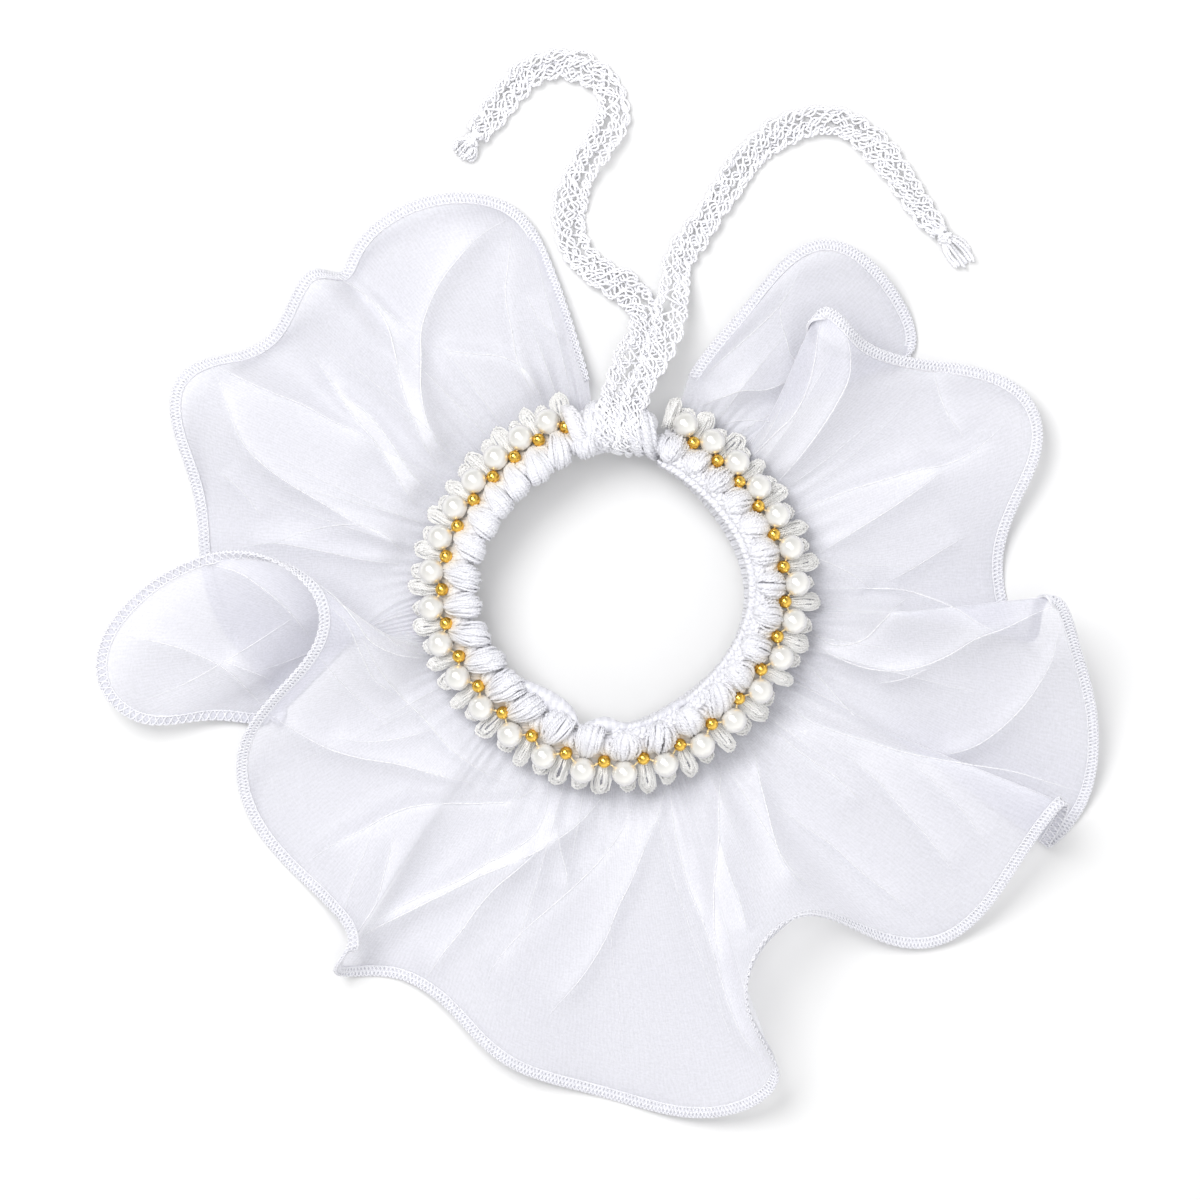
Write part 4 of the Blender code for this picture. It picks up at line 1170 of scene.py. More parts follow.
@dataclass(frozen=True)
class Overlock:
    """The edge stitches along the hem: a turned edge, a lattice of thread and a row beside it."""

    width: float = 3.0
    stitch: float = 2.4
    steps: int = 6
    thread: float = 0.25
    lift: float = 0.3

    def edge(self, cloth: Array) -> tuple[Array, Array, Array]:
        """The hem by even steps, with the directions into the cloth and out of its face."""
        hem = cloth[:, -1]
        along = along_line(hem)
        count = round(along[-1] / (self.stitch * MM / self.steps)) + 1
        inner = np.empty_like(hem)
        lengths = along_line(cloth[:, ::-1])
        for k in range(len(hem)):
            row = cloth[k, ::-1]
            inner[k] = [np.interp(self.width * MM, lengths[k], row[:, axis]) for axis in range(3)]
        even = np.linspace(0.0, along[-1], count)
        points = np.stack([np.interp(even, along, hem[:, axis]) for axis in range(3)], axis=1)
        inner = np.stack([np.interp(even, along, inner[:, axis]) for axis in range(3)], axis=1)
        ahead = unit(np.gradient(points, axis=0))
        inward = inner - points
        inward = unit(inward - ahead * np.sum(inward * ahead, axis=1, keepdims=True))
        face = np.cross(ahead, inward)
        return points, inward, face

    def build(self, cloth: Array, finishes: Finishes) -> list[bpy.types.Object]:
        """The turned edge and its threads."""
        points, inward, face = self.edge(cloth)
        count = len(points)
        phase = 2 * math.pi * np.arange(count) / self.steps

        def line(into: Array | float, up: Array | float) -> Array:
            """The hem moved into the cloth and out of its face, in millimetres."""
            into = np.broadcast_to(into, (count,))[:, None] * MM
            up = np.broadcast_to(up, (count,))[:, None] * MM
            return points + inward * into + face * up

        half = self.width / 2
        turned = [
            line(half + (half + 0.1) * math.cos(t), 0.22 * math.sin(t))
            for t in np.linspace(0, 2 * math.pi, 10, endpoint=False)
        ]
        ribbon = np.stack(turned, axis=1)[:: self.steps // 2]
        quads = grid_quads(len(ribbon), 10, closed=True)
        ribbon = ribbon.reshape(-1, 3)
        ribbon[:, 2] = np.maximum(ribbon[:, 2], 0.1 * MM)
        hem = mesh_object("hem_edge", ribbon, quads)
        pieces = [dress(hem, finishes.hem)]
        for name, side in (("overlock_face", 1.0), ("overlock_back", -1.0)):
            threads = Strands(sides=4)
            up = side * self.lift
            rows = ((0.27, 1.0), (0.73, 1.0)) if side > 0 else ((0.5, 0.5),)
            for place, pace in rows:
                swing = 0.27 * self.width / pace * np.sin(pace * phase + 3.0 * place)
                hop = 0.09 * np.cos(pace * phase)
                middle = place * self.width
                threads.add(line(middle + swing, up + hop), self.thread)
                threads.add(line(middle - swing, up - hop), self.thread)
            threads.add(line(self.width, up * 0.8 + 0.08 * np.cos(phase)), self.thread)
            if side > 0:
                wrapped = line(0.2 * np.cos(2 * phase), 0.32 * np.sin(2 * phase))
                threads.add(wrapped, self.thread)
            pieces.append(dress(threads.build(name), finishes.thread))
        return pieces


def ball(points_along: int, points_round: int, flat: float) -> tuple[Array, Array]:
    """A unit ball whose poles are dimpled for the thread, as points and quads.

    Args:
        points_along: rings from pole to pole.
        points_round: points in each ring.
        flat: the latitude in degrees where the bore starts, from the pole.

    Returns:
        Points with the thread along their first axis, and quads.
    """
    angles = np.radians(np.linspace(flat, 180.0 - flat, points_along - 2))
    along = np.concatenate([[0.6], np.cos(angles), [-0.6]])
    radius = np.concatenate([[math.sin(math.radians(flat))], np.sin(angles), [0.0]])
    radius[-1] = radius[0]
    turn = 2 * math.pi * np.arange(points_round) / points_round
    ring = np.stack([np.zeros_like(turn), np.cos(turn), np.sin(turn)], axis=1)
    points = radius[:, None, None] * ring + along[:, None, None] * np.array([1.0, 0.0, 0.0])
    return points.reshape(-1, 3), grid_quads(points_along, points_round, closed=True)


def beads(
    name: str, centres: Array, ahead: Array, radius: float, shape: tuple[Array, Array]
) -> bpy.types.Object:
    """A row of equal beads in one mesh, each turned along the thread."""
    points, quads = shape
    ups = np.broadcast_to([0.0, 0.0, 1.0], ahead.shape)
    sides = unit(np.cross(ups, ahead))
    ups = np.cross(ahead, sides)
    turned = np.stack([ahead, sides, ups], axis=1)
    placed = centres[:, None] + radius * MM * np.einsum("pk,nkj->npj", points, turned)
    shifted = quads[None] + (np.arange(len(centres)) * len(points))[:, None, None]
    shifted = shifted.reshape(-1, 4)
    return mesh_object(name, placed.reshape(-1, 3), shifted)


@dataclass(frozen=True)
class Pearls:
    """The row of pearls and the thread through all beads."""

    radius: float = 4.0
    seat: float = 13.6
    out: float = 5.6
    thread: float = 0.42

    def centres(self) -> Array:
        """The pearls' middles, in metres."""
        return NECK.band(NECK.pearl_angle(np.arange(NECK.pearls)), self.seat, self.out)

    def build(self, finishes: Finishes) -> list[bpy.types.Object]:
        """The pearls and their thread."""
        ahead = NECK.ahead(NECK.pearl_angle(np.arange(NECK.pearls)))
        row = beads("pearl_row", self.centres(), ahead, self.radius, ball(20, 28, 7.0))
        pieces = [dress(row, finishes.pearl, ("pearl_strand",))]
        gold = GoldBeads()
        strung = []
        for number in range(NECK.pearls):
            strung += [gold.centres()[number], self.centres()[number]]
        way = smooth_through(np.array(strung) / MM, 420) * MM
        thread = Strands(sides=5)
        thread.add(way, self.thread, plies=2, lay=1.6)
        made = thread.build("bead_thread")
        pieces.append(dress(made, finishes.gold_thread))
        return pieces


@dataclass(frozen=True)
class GoldBeads:
    """The small gold beads between the pearls."""

    radius: float = 2.05
    seat: float = 10.5
    out: float = 3.6
    glow: float = 4.3

    def centres(self) -> Array:
        """The beads' middles, in metres."""
        return NECK.band(NECK.pearl_angle(np.arange(NECK.pearls) - 0.5), self.seat, self.out)

    @staticmethod
    def gold_reflection_and_cream(points: Array) -> Array:
        """How much light each point gets from the gold beads, from 0 to 1."""
        warm = np.zeros(len(points))
        for centre in GoldBeads().centres():
            gap = np.linalg.norm(points - centre, axis=1)
            warm = np.maximum(warm, np.exp(-((gap / (GoldBeads.glow * MM)) ** 2)))
        return 0.8 * warm

    def build(self, finishes: Finishes) -> bpy.types.Object:
        """The beads as one mesh."""
        ahead = NECK.ahead(NECK.pearl_angle(np.arange(NECK.pearls) - 0.5))
        row = beads("gold_row", self.centres(), ahead, self.radius, ball(16, 20, 14.0))
        nodes = tuple(f"gold_bead_{number + 1:02d}" for number in range(NECK.pearls))
        return dress(row, finishes.gold, nodes)


@dataclass(frozen=True)
class NeckBand:
    """The crocheted band: its wall, fat puff stitches, picots and the chain rows inside.

    Three fields give the middle of a fat stitch seen from the side, along the band's slope and
    out of it: over the neck's edge, short of it, and of the small bundles between.
    """

    over: tuple[tuple[float, float], ...] = (
        (6.0, -4.2), (3.0, -2.0), (1.2, 0.3), (1.5, 2.4), (4.6, 3.3), (7.8, 3.1), (11.8, 1.4),
    )
    short: tuple[tuple[float, float], ...] = (
        (1.6, 0.2), (2.4, 2.2), (4.6, 3.5), (7.6, 3.3), (11.8, 1.2),
    )
    between: tuple[tuple[float, float], ...] = ((3.2, 0.6), (5.0, 1.9), (7.5, 1.9), (9.6, 1.2))
    puff_points: int = 13
    puff_radius: float = 46.0
    picot_cord: float = 0.62
    picot_rings: int = 4
    picot_root: float = 11.0
    picot_width: float = 3.4
    picot_radius: float = 57.0
    chain: float = 3.1
    chain_rows: int = 5
    chain_cord: float = 0.62
    chain_radius: float = 42.0
    chain_top: float = 17.5
    chain_drop: float = 9.0
    plait: float = 5.2
    plait_cord: float = 0.95
    plait_lanes: tuple[tuple[float, float], ...] = ((42.3, 18.2), (44.4, 19.4))
    shows_inside: float = 0.5

    def wall(self, finishes: Finishes) -> bpy.types.Object:
        """The band's closed wall, knitted close and seen only between the stitches."""
        outer = ((3.0, 0.6), (4.5, 1.3), (8.0, 1.9), (11.5, 1.9), (16.0, 1.2), (20.5, 0.5))
        rims = (*outer, (20.5, -0.4), (9.0, -1.0), (3.2, -0.8))
        angles = np.linspace(NECK.start + 2.5, NECK.end - 2.5, 260)
        rings = [NECK.band(angles, along, out) for along, out in rims]
        points = np.stack(rings, axis=1).reshape(-1, 3)
        quads = grid_quads(len(angles), len(rims), closed=True)
        # Painted reflection of the gold beads on the wall.
        values = {"gold_reflection_and_cream": GoldBeads.gold_reflection_and_cream(points)}
        piece = mesh_object("band_wall", points, quads, values=values)
        return dress(piece, finishes.yarn, ("neck_band",))

    def lay(
        self,
        strands: Strands,
        middle: float,
        lean: float,
        side: tuple[tuple[float, float], ...],
        puff: Puff,
        dice: np.random.Generator,
    ) -> None:
        """Lays a bundle across the band.

        Args:
            strands: takes the yarns.
            middle: its angle on the band.
            lean: how far its ends stand apart round the band, in degrees.
            side: its middle seen from the side, along the band's slope and out of it.
            puff: its size.
            dice: the unevenness of hand work.
        """
        rows = np.array([[along, out, 0.0] for along, out in side])
        rows = smooth_through(rows, self.puff_points)
        t = np.linspace(0.0, 1.0, self.puff_points)
        angle = middle + lean * (0.5 - t)
        route = NECK.band(angle, rows[:, 0] + dice.uniform(-0.4, 0.4), rows[:, 1])
        across = NECK.ahead(angle)
        ahead = unit(np.gradient(route, axis=0))
        across = unit(across - ahead * np.sum(across * ahead, axis=1, keepdims=True))
        strands.skein(route, across, puff, dice)

    def puffs(self) -> Strands:
        """The fat stitches: a large bundle over the rim for each pearl and a small one between."""
        strands = Strands(sides=4)
        dice = np.random.default_rng(11)
        for number in range(-1, NECK.pearls):
            middle = float(NECK.pearl_angle(number + 0.02))
            pitch = float(NECK.pearl_angle(number + 0.5) - NECK.pearl_angle(number - 0.5))
            if not NECK.start - 2 < middle < NECK.end + 1:
                continue
            room = math.radians(pitch) * self.puff_radius
            lean = (0.35 + dice.uniform(-0.3, 0.3)) * pitch
            inside = self.inner_reach(middle) > self.shows_inside
            wide, thick = dice.uniform(0.36, 0.44) * room, 1.9 * dice.uniform(0.8, 1.2)
            large = Puff(wide, thick, dice.uniform(-0.6, 1.6), 14, 0.72, 0.9 if inside else 0.72)
            middle = middle + dice.uniform(-0.06, 0.06) * pitch
            side = self.short if inside else self.over
            self.lay(strands, middle, lean, side, large, dice)
            small = Puff(0.27 * room, 1.1, -1.0, 8, 0.66)
            beside = middle + 0.5 * pitch + dice.uniform(-0.6, 0.6)
            self.lay(strands, beside, -0.3 * lean, self.between, small, dice)
        return strands

    def picots(self) -> Strands:
        """Small filled petals of cord round the outer edge, two for each pearl."""
        bundle = Strands(sides=5)
        t = np.linspace(0.0, 1.0, 15)
        dice = np.random.default_rng(5)
        for half in range(-1, 2 * NECK.pearls):
            middle = float(NECK.pearl_angle(half / 2))
            if not NECK.start + 2 < middle < NECK.end - 2:
                continue
            between = half % 2 == 1
            tip = (23.8 if between else 23.2) + dice.uniform(-0.8, 0.7)
            wide = self.picot_width + dice.uniform(-0.35, 0.35)
            lean = dice.uniform(-1.0, 1.0)
            rise = 1.7 + (1.1 if between else 0.0)
            for ring in range(self.picot_rings):
                arch = np.sin(math.pi * t)
                across = (wide - 0.92 * ring) * -np.cos(math.pi * t) * (0.5 + 0.5 * arch)
                along = self.picot_root + (tip - 1.1 * ring - self.picot_root) * arch**0.6
                across = across + dice.uniform(-0.35, 0.35) * np.sin(2 * math.pi * t)
                along = along + 0.3 * np.sin(6 * math.pi * t + 2 * ring)
                out = rise + 0.9 * arch + 0.4 * ring + dice.uniform(-0.2, 0.2)
                across = across + lean * (along - self.picot_root) / 13
                angle = middle + np.degrees(across / self.picot_radius)
                bundle.add(NECK.band(angle, along, out), self.picot_cord, plies=2, lay=1.7)
        return bundle

    def chains(self) -> Strands:
        """Rows of small V stitches on the side that faces the neck, and a plait above them."""
        bundle = Strands(sides=4)
        t = np.linspace(0.0, 1.0, 7)
        for row in range(self.chain_rows):
            count = round(math.radians(NECK.end - NECK.start) * 41.0 / self.chain)
            step = (NECK.end - NECK.start) / count
            for number in range(count):
                angle = NECK.start + step * (number + 0.5)
                if self.inner_reach(angle) < self.shows_inside or angle > NECK.end - 4:
                    continue
                for side in (-1.0, 1.0):
                    turn = angle + step * (1.25 * t - 0.5)
                    inner = self.inner_reach(turn)
                    share = row + 0.5 + 0.42 * side * np.sin(0.5 * math.pi * t)
                    share = share / self.chain_rows
                    radius = self.chain_radius + NECK.offset(turn) - inner * share
                    up = self.chain_top - self.chain_drop * share
                    up = up + 0.1 * np.sin(math.pi * t) * inner
                    deep = radius - 0.5 * np.sin(math.pi * t)
                    bundle.add(NECK.polar(turn, deep, up), self.chain_cord)
        angles = np.linspace(NECK.start, NECK.end - 6.0, 1500)
        angles = angles[self.inner_reach(angles) > self.shows_inside]
        arc = 2 * math.pi * np.radians(angles) * 43.0 / self.plait
        for lane, (middle, top) in enumerate(self.plait_lanes):
            for late in (0.0, 2.1, 4.2):
                phase = arc + late + lane
                radius = middle + NECK.offset(angles) + 1.05 * np.sin(phase)
                up = top + 0.55 * np.sin(2 * phase)
                bundle.add(NECK.polar(angles, radius, up), self.plait_cord)
        return bundle

    @staticmethod
    def inner_reach(angle: Array) -> Array:
        """How far the band's inner side leans into the neck: most at the right."""
        lower = np.exp(-(((angle - 296.0) / 24.0) ** 2))
        right = np.exp(-(((angle - 380.0) / 42.0) ** 2))
        return 1.6 * lower + 2.4 * right

    def frill(self, finishes: Finishes) -> bpy.types.Object:
        """The soft organza binding that rolls out over the neck's edge, lower left."""
        angles = np.linspace(FRILL[0][0], FRILL[-1][0], 200)
        inner = smooth_through(np.array([[a / 3.0, r, 0.0] for a, r in FRILL]), 400)
        inner = np.interp(angles / 3.0, inner[:, 0], inner[:, 1])
        outer = 43.0 + NECK.offset(angles)
        inner = np.minimum(inner, outer - 1.0)
        ripple = 0.5 * np.sin(np.radians(angles) * 41) + 0.3 * np.sin(np.radians(angles) * 17)
        rows = []
        for turn in np.linspace(-0.35, 1.35, 16) * math.pi:
            share = 0.5 + 0.5 * math.cos(turn)
            radius = inner + (outer - inner) * (1.0 - share)
            height = 17.2 + (1.9 + 0.12 * (outer - inner)) * math.sin(turn) + ripple * share
            rows.append(NECK.polar(angles, radius, height))
        points = np.stack(rows, axis=1).reshape(-1, 3)
        quads = grid_quads(len(angles), len(rows))
        # Bands along the binding painted denser and whiter, as a highlight.
        density_and_highlight = 0.3 + 0.25 * np.sin(np.repeat(angles, len(rows)) * 0.9) ** 2
        piece = mesh_object("neck_frill", points, quads, values={"density_and_highlight": density_and_highlight})
        return dress(piece, finishes.organza)

    def build(self, finishes: Finishes) -> list[bpy.types.Object]:
        """The whole band."""
        made = [
            dress(self.puffs().build("band_puffs"), finishes.yarn),
            dress(self.picots().build("band_picots", warm=0.1), finishes.picot),
            dress(self.chains().build("band_chain"), finishes.yarn),
        ]
        return [self.wall(finishes), self.frill(finishes), *made]


@dataclass(frozen=True)
class Lace:
    """Openwork crochet tape: rows of chain stitches, netting between them, scalloped edges."""

    width: float = 10.0
    cord: float = 0.4
    chain: float = 2.9
    loop: float = 1.35
    scallop: float = 6.4
    net: float = 8.0
    step: float = 0.34
    lane: float = 2.9

    def weave(
        self, bundle: Strands, route: Array, across: Array, seed: int, narrow: tuple = (1.0, 1.0)
    ) -> None:
        """Adds the cords of a length of tape.

        Args:
            bundle: takes the cords.
            route: the tape's middle by even steps, in metres.
            across: the direction of its width at each point.
            seed: picks the small unevenness of hand work.
            narrow: the share of its width that the tape keeps at either end.
        """
        dice = np.random.default_rng(seed)
        along = along_line(route) / MM
        length = along[-1]
        face = np.cross(unit(np.gradient(route, axis=0)), across)
        knots = np.linspace(0, length, max(4, round(length / 8)))

        def drift(size: float) -> Array:
            """A slow wander along the tape, up to a size."""
            rough = np.interp(along, knots, dice.uniform(-size, size, len(knots)))
            return softened(rough, np.hanning(15))

        full = 1.0 + drift(0.16)
        full *= narrow[0] + (1 - narrow[0]) * smoothstep(along, 30.0, 55.0)
        full *= narrow[1] + (1 - narrow[1]) * smoothstep(length - along, 0.0, 9.0)

        def line(side: Array, up: Array) -> Array:
            """The route moved to one side and up, in millimetres."""
            side = side * full
            return route + across * (side * MM)[:, None] + face * (up * MM)[:, None]

        scale = self.width / 10.0
        for middle in np.array([-self.lane, 0.0, self.lane]) * scale:
            wander, height, slip = drift(1.35), drift(0.9), drift(1.5)
            phase = math.pi * along / self.chain + dice.uniform(0, math.pi) + slip
            size = 1.0 + drift(0.3)
            for loop, late in ((self.loop, 0.0), (-self.loop, 0.0), (0.45 * self.loop, 1.3)):
                swing = np.sin(phase + late)
                side = middle + wander + size * loop * np.sign(swing) * np.abs(swing) ** 0.7
                up = height + np.sign(loop) * 0.45 * np.cos(phase + late)
                bundle.add(line(side, up), self.cord)
        turns = (along / self.net + 0.3 + 0.08 * drift(1.0)) % 1.0
        sweep = softened(2 * np.abs(2 * turns - 1) - 1, np.hanning(9))
        bundle.add(line(3.6 * scale * sweep, 0.9 * drift(0.8) - 0.3), self.cord)
        for edge in (-1.0, 1.0):
            arch = np.abs(np.sin(math.pi * along / self.scallop + edge + drift(0.5))) ** 0.8
            phase = math.pi * along / (0.8 * self.chain) + edge
            for sign in (-1.0, 1.0):
                side = edge * (self.width / 2 - 2.1 + 1.5 * arch) + sign * 0.42 * np.sin(phase)
                bundle.add(line(side, 0.4 * sign * np.cos(phase) + drift(0.4)), self.cord)


class Fringe(NamedTuple):
    """The loose yarns at a tie's end: their length, number, radius and how far they fan out."""

    length: float
    yarns: int
    cord: float
    fan: float


@dataclass(frozen=True)
class LaceTie:
    """One tie: its lace, the knot at its end and what hangs past the knot."""

    name: str
    ways: tuple[Way, ...]
    length: float
    seed: int
    tail: Fringe
    nodes: tuple[str, ...]
    end_nodes: tuple[str, ...]
    lace: Lace = Lace()
    knot_radius: float = 3.2
    end_width: float = 0.62

    def route(self) -> tuple[Array, Array]:
        """The tape's middle by even steps, in metres, and the direction of its width."""
        rows = smooth_through(np.array(self.ways, float), 400)
        even = resampled(rows[:, :3] * MM, self.lace.step * MM)
        turns = np.interp(np.linspace(0, 1, len(even)), np.linspace(0, 1, len(rows)), rows[:, 3])
        ahead = unit(np.gradient(even, axis=0))
        flat = unit(np.cross([0.0, 0.0, 1.0], ahead))
        up = np.cross(ahead, flat)
        roll = np.radians(turns)[:, None]
        return even + NECK.centre, flat * np.cos(roll) + up * np.sin(roll)

    def knot(self, bundle: Strands, middle: Array, ahead: Array) -> None:
        """A round overhand knot of doubled cord."""
        side = np.cross([0.0, 0.0, 1.0], ahead)
        t = np.linspace(0.0, 2 * math.pi * 1.04, 26)
        radius = (self.knot_radius - 0.95) * MM
        for tilt, shift in ((20, -1.5), (55, -0.7), (-35, 0.0), (80, 0.6), (-70, 0.9), (0, 1.6)):
            lean = math.radians(tilt)
            first = side * math.cos(lean) + ahead * math.sin(lean)
            second = np.array([0.0, 0.0, 1.0]) * math.cos(lean * 0.6) + ahead * math.sin(lean * 0.6)
            size = radius * (1.0 - 0.12 * abs(shift))
            ring = np.cos(t)[:, None] * first + np.sin(t)[:, None] * second
            bundle.add(middle + ahead * shift * MM + ring * size, 0.95, plies=2, lay=2.6)

    def fringe(self, bundle: Strands, middle: Array, ahead: Array) -> None:
        """The loose yarns past the knot, fanned out on the floor."""
        dice = np.random.default_rng(self.seed + 40)
        side = np.cross([0.0, 0.0, 1.0], ahead)
        t = np.linspace(0.0, 1.0, 12)
        fan = np.sin(math.pi * (0.14 + 0.56 * t)) * self.tail.fan
        for number in range(self.tail.yarns):
            lane = 2 * number / (self.tail.yarns - 1) - 1
            length = self.tail.length * (1.0 - 0.22 * lane**2) * dice.uniform(0.7, 1.0)
            spread = lane * fan + dice.uniform(-0.9, 0.9) * np.sin(3 * t)
            up = middle[2] / MM - (middle[2] / MM - 1.4) * smoothstep(t, 0.0, 0.7)
            up = up + dice.uniform(-0.6, 1.6) * np.sin(2.2 * t)
            path = middle + ahead * ((1.8 + length * t) * MM)[:, None]
            path = path + side * (spread * MM)[:, None]
            path[:, 2] = np.maximum(up, 0.7) * MM
            bundle.add(path, self.tail.cord, plies=2, lay=2.0)

    def build(self, finishes: Finishes) -> list[bpy.types.Object]:
        """The tie and its end."""
        route, across = self.route()
        tape = Strands(sides=4)
        last = np.array([self.ways[-1].x, self.ways[-1].y, self.knot_radius])
        before = np.array([self.ways[-2].x, self.ways[-2].y, self.knot_radius])
        ahead = unit(last - before)
        middle = (last + ahead * (self.knot_radius + 0.3)) * MM + NECK.centre
        whole = np.concatenate([route, route[-1] + (middle - route[-1]) * [[0.25], [0.5], [0.8]]])
        sides = np.concatenate([across, across[-1:], across[-1:], across[-1:]])
        self.lace.weave(tape, whole, sides, self.seed, (0.84, self.end_width))
        piece = dress(tape.build(self.name), finishes.lace, self.nodes)
        end = Strands(sides=4)
        self.knot(end, middle, ahead)
        self.fringe(end, middle, ahead)
        ending = dress(end.build(self.name + "_end"), finishes.lace, self.end_nodes)
        LOG.info("%s: %.1f mm long", self.name, along_line(whole)[-1] / MM)
        return [piece, ending]


@dataclass(frozen=True)
class NeckKnot:
    """Bundles of yarn and a length of lace wrapped over the gap of the band.

    Each wrap has its angle, how far it leans along the band, and whether it is of lace.
    """

    ring: float = 50.5
    height: float = 14.2
    radius: float = 6.6
    wraps: tuple[tuple[float, float, bool], ...] = (
        (102.2, 6.0, False),
        (97.6, -5.0, False),
        (92.6, -13.0, True),
        (87.2, 3.0, False),
        (82.6, 11.0, False),
        (78.2, 15.0, False),
    )

    def core(self, finishes: Finishes) -> bpy.types.Object:
        """The pulled-together middle, seen only through the lace."""
        angles = np.linspace(102.6, 74.4, 40)
        swell = 0.72 + 0.28 * np.abs(np.cos(np.radians((angles - 88.5) * 16)))
        swell = swell * tapered(np.linspace(0, 1, 40), -0.15, 0.12)
        turn = 2 * math.pi * np.arange(20) / 20
        out = self.ring + 0.86 * self.radius * swell[:, None] * np.cos(turn)
        up = self.height + 0.86 * self.radius * swell[:, None] * np.sin(turn)
        points = NECK.polar(angles[:, None], out, up).reshape(-1, 3)
        quads = grid_quads(40, 20, closed=True)
        values = {"gold_reflection_and_cream": np.zeros(len(points))}
        piece = mesh_object("knot_core", points, quads, values=values)
        return dress(piece, finishes.yarn, ("tie_knot",))

    def build(self, finishes: Finishes) -> list[bpy.types.Object]:
        """The core, and the yarns and lace wrapped over it."""
        bundle = Strands(sides=4)
        dice = np.random.default_rng(17)
        t = np.linspace(0.0, 1.0, 72)
        for number, (ring_angle, lean, laced) in enumerate(self.wraps):
            angle = ring_angle + lean * (t - 0.5)
            turn = np.radians(205.0 - 225.0 * t)
            size = self.radius + dice.uniform(-0.9, 0.5) + (1.4 if laced else 0.0)
            route = NECK.polar(
                angle, self.ring + size * np.cos(turn), self.height + size * np.sin(turn)
            )
            ahead = unit(np.gradient(route, axis=0))
            flat = np.radians(angle)
            outward = np.stack(
                [np.cos(flat) * np.cos(turn), np.sin(flat) * np.cos(turn), np.sin(turn)], axis=1
            )
            across = unit(np.cross(outward, ahead))
            if laced:
                lace = Lace(width=7.6, cord=0.66, chain=3.6, loop=1.6, scallop=7.0, net=14.0)
                lace.weave(bundle, route, across, 60 + number)
            else:
                puff = Puff(2.1, 2.0, dice.uniform(-2.5, 2.5), 9, 0.86)
                bundle.skein(route[::3], across[::3], puff, dice)
        return [self.core(finishes), dress(bundle.build("knot_yarns"), finishes.yarn)]


class Lamp(NamedTuple):
    """A round area light: its name, place and width in metres, and power in watts."""

    name: str
    place: tuple[float, float, float]
    width: float
    power: float


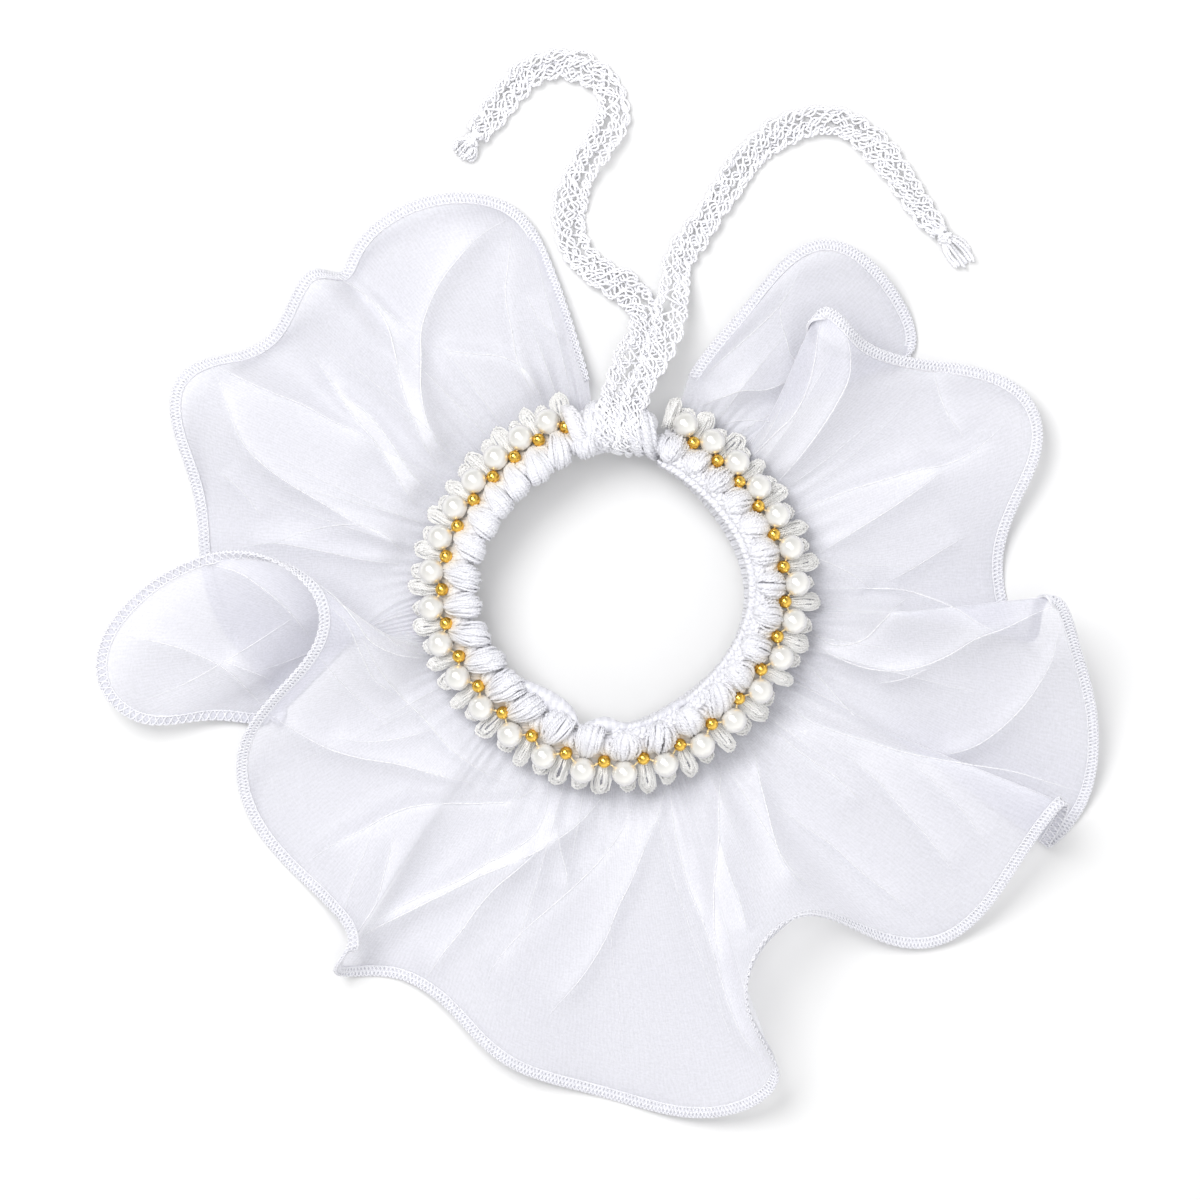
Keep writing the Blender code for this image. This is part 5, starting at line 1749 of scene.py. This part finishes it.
@dataclass(frozen=True)
class Studio:
    """Camera, floor and lights: the camera looks straight down, and its sizes are in metres."""

    middle: tuple[float, float] = (0.58, 17.2)
    distance: float = 2.4
    view: float = 0.372
    sensor: float = 36.0
    horizon: float = 0.92
    zenith: float = 0.46
    bounce: tuple[float, float, float] = (0.36, -0.46, 0.0)
    lamps: tuple[Lamp, ...] = (
        Lamp("key", (-0.78, 0.86, 1.75), 1.3, 36.0),
        Lamp("fill", (0.1, 0.1, 3.4), 2.0, 24.0),
    )
    floor_side: float = 3.0

    def light(self, lamp: Lamp) -> None:
        """Adds an area light that looks at the collar."""
        data = bpy.data.lights.new(lamp.name, "AREA")
        data.shape = "DISK"
        data.size = lamp.width
        data.energy = lamp.power
        made = bpy.data.objects.new(lamp.name, data)
        made.location = lamp.place
        target = np.array([*self.middle, 0.0]) * MM - np.array(lamp.place)
        tilt = math.atan2(math.hypot(target[0], target[1]), -target[2])
        heading = math.atan2(target[1], target[0]) - math.pi / 2
        made.rotation_euler = (tilt, 0.0, heading)
        bpy.context.scene.collection.objects.link(made)

    def build(self, finishes: Finishes) -> None:
        """Sets the scene round the collar."""
        scene = bpy.context.scene
        data = bpy.data.cameras.new("camera")
        data.sensor_width = self.sensor
        data.lens = self.sensor * self.distance / self.view
        camera = bpy.data.objects.new("camera", data)
        camera.location = (self.middle[0] * MM, self.middle[1] * MM, self.distance)
        scene.collection.objects.link(camera)
        scene.camera = camera
        scene.view_settings.view_transform = "Standard"
        world = bpy.data.worlds.new("studio")
        world.use_nodes = True
        tree = world.node_tree
        background = tree.nodes["Background"]
        background.inputs["Color"].default_value = (1.0, 1.0, 1.0, 1.0)
        towards = tree.nodes.new("ShaderNodeTexCoord").outputs["Generated"]
        parts = tree.nodes.new("ShaderNodeSeparateXYZ")
        tree.links.new(towards, parts.inputs[0])
        walls = tree.nodes.new("ShaderNodeMapRange")
        walls.inputs["To Min"].default_value = self.horizon
        walls.inputs["To Max"].default_value = self.zenith
        tree.links.new(parts.outputs[2], walls.inputs["Value"])
        across = tree.nodes.new("ShaderNodeVectorMath")
        across.operation = "DOT_PRODUCT"
        across.inputs[1].default_value = self.bounce
        tree.links.new(towards, across.inputs[0])
        total = tree.nodes.new("ShaderNodeMath")
        tree.links.new(walls.outputs[0], total.inputs[0])
        tree.links.new(across.outputs["Value"], total.inputs[1])
        tree.links.new(total.outputs[0], background.inputs["Strength"])
        scene.world = world
        for lamp in self.lamps:
            self.light(lamp)
        side = self.floor_side
        corners = np.array([[-side, -side, 0], [side, -side, 0], [side, side, 0], [-side, side, 0]])
        floor = mesh_object("floor", corners, np.array([[0, 1, 2, 3]]))
        floor.data.materials.append(finishes.floor)


@dataclass(frozen=True)
class Collar:
    """The whole dressed collar."""

    flounce: Flounce = Flounce()
    overlock: Overlock = Overlock()
    pearls: Pearls = Pearls()
    gold: GoldBeads = GoldBeads()
    band: NeckBand = NeckBand()
    knot: NeckKnot = NeckKnot()
    left: LaceTie = LaceTie(
        "lace_left",
        LEFT_WAYS,
        188.0,
        21,
        Fringe(6.5, 30, 0.42, 4.2),
        ("tie_left",),
        ("knot_left",),
        end_width=0.95,
    )
    right: LaceTie = LaceTie(
        "lace_right",
        RIGHT_WAYS,
        188.0,
        22,
        Fringe(13.0, 8, 0.8, 3.7),
        ("tie_right",),
        ("knot_right", "tail_right"),
    )

    def build(self, finishes: Finishes) -> None:
        """Builds and dresses every piece."""
        self.left.build(finishes)
        self.right.build(finishes)
        cloth, creases, grid = self.flounce.build(finishes)
        edges = [creases, *self.overlock.build(grid, finishes)]
        self.pearls.build(finishes)
        self.gold.build(finishes)
        self.band.build(finishes)
        self.knot.build(finishes)


def main() -> None:
    """Dresses the collar and lights it."""
    logging.basicConfig(level=logging.INFO, format="%(name)s: %(message)s")
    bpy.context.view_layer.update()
    finishes = Finishes()
    Studio().build(finishes)
    Collar().build(finishes)


if __name__ == "__main__":
    main()
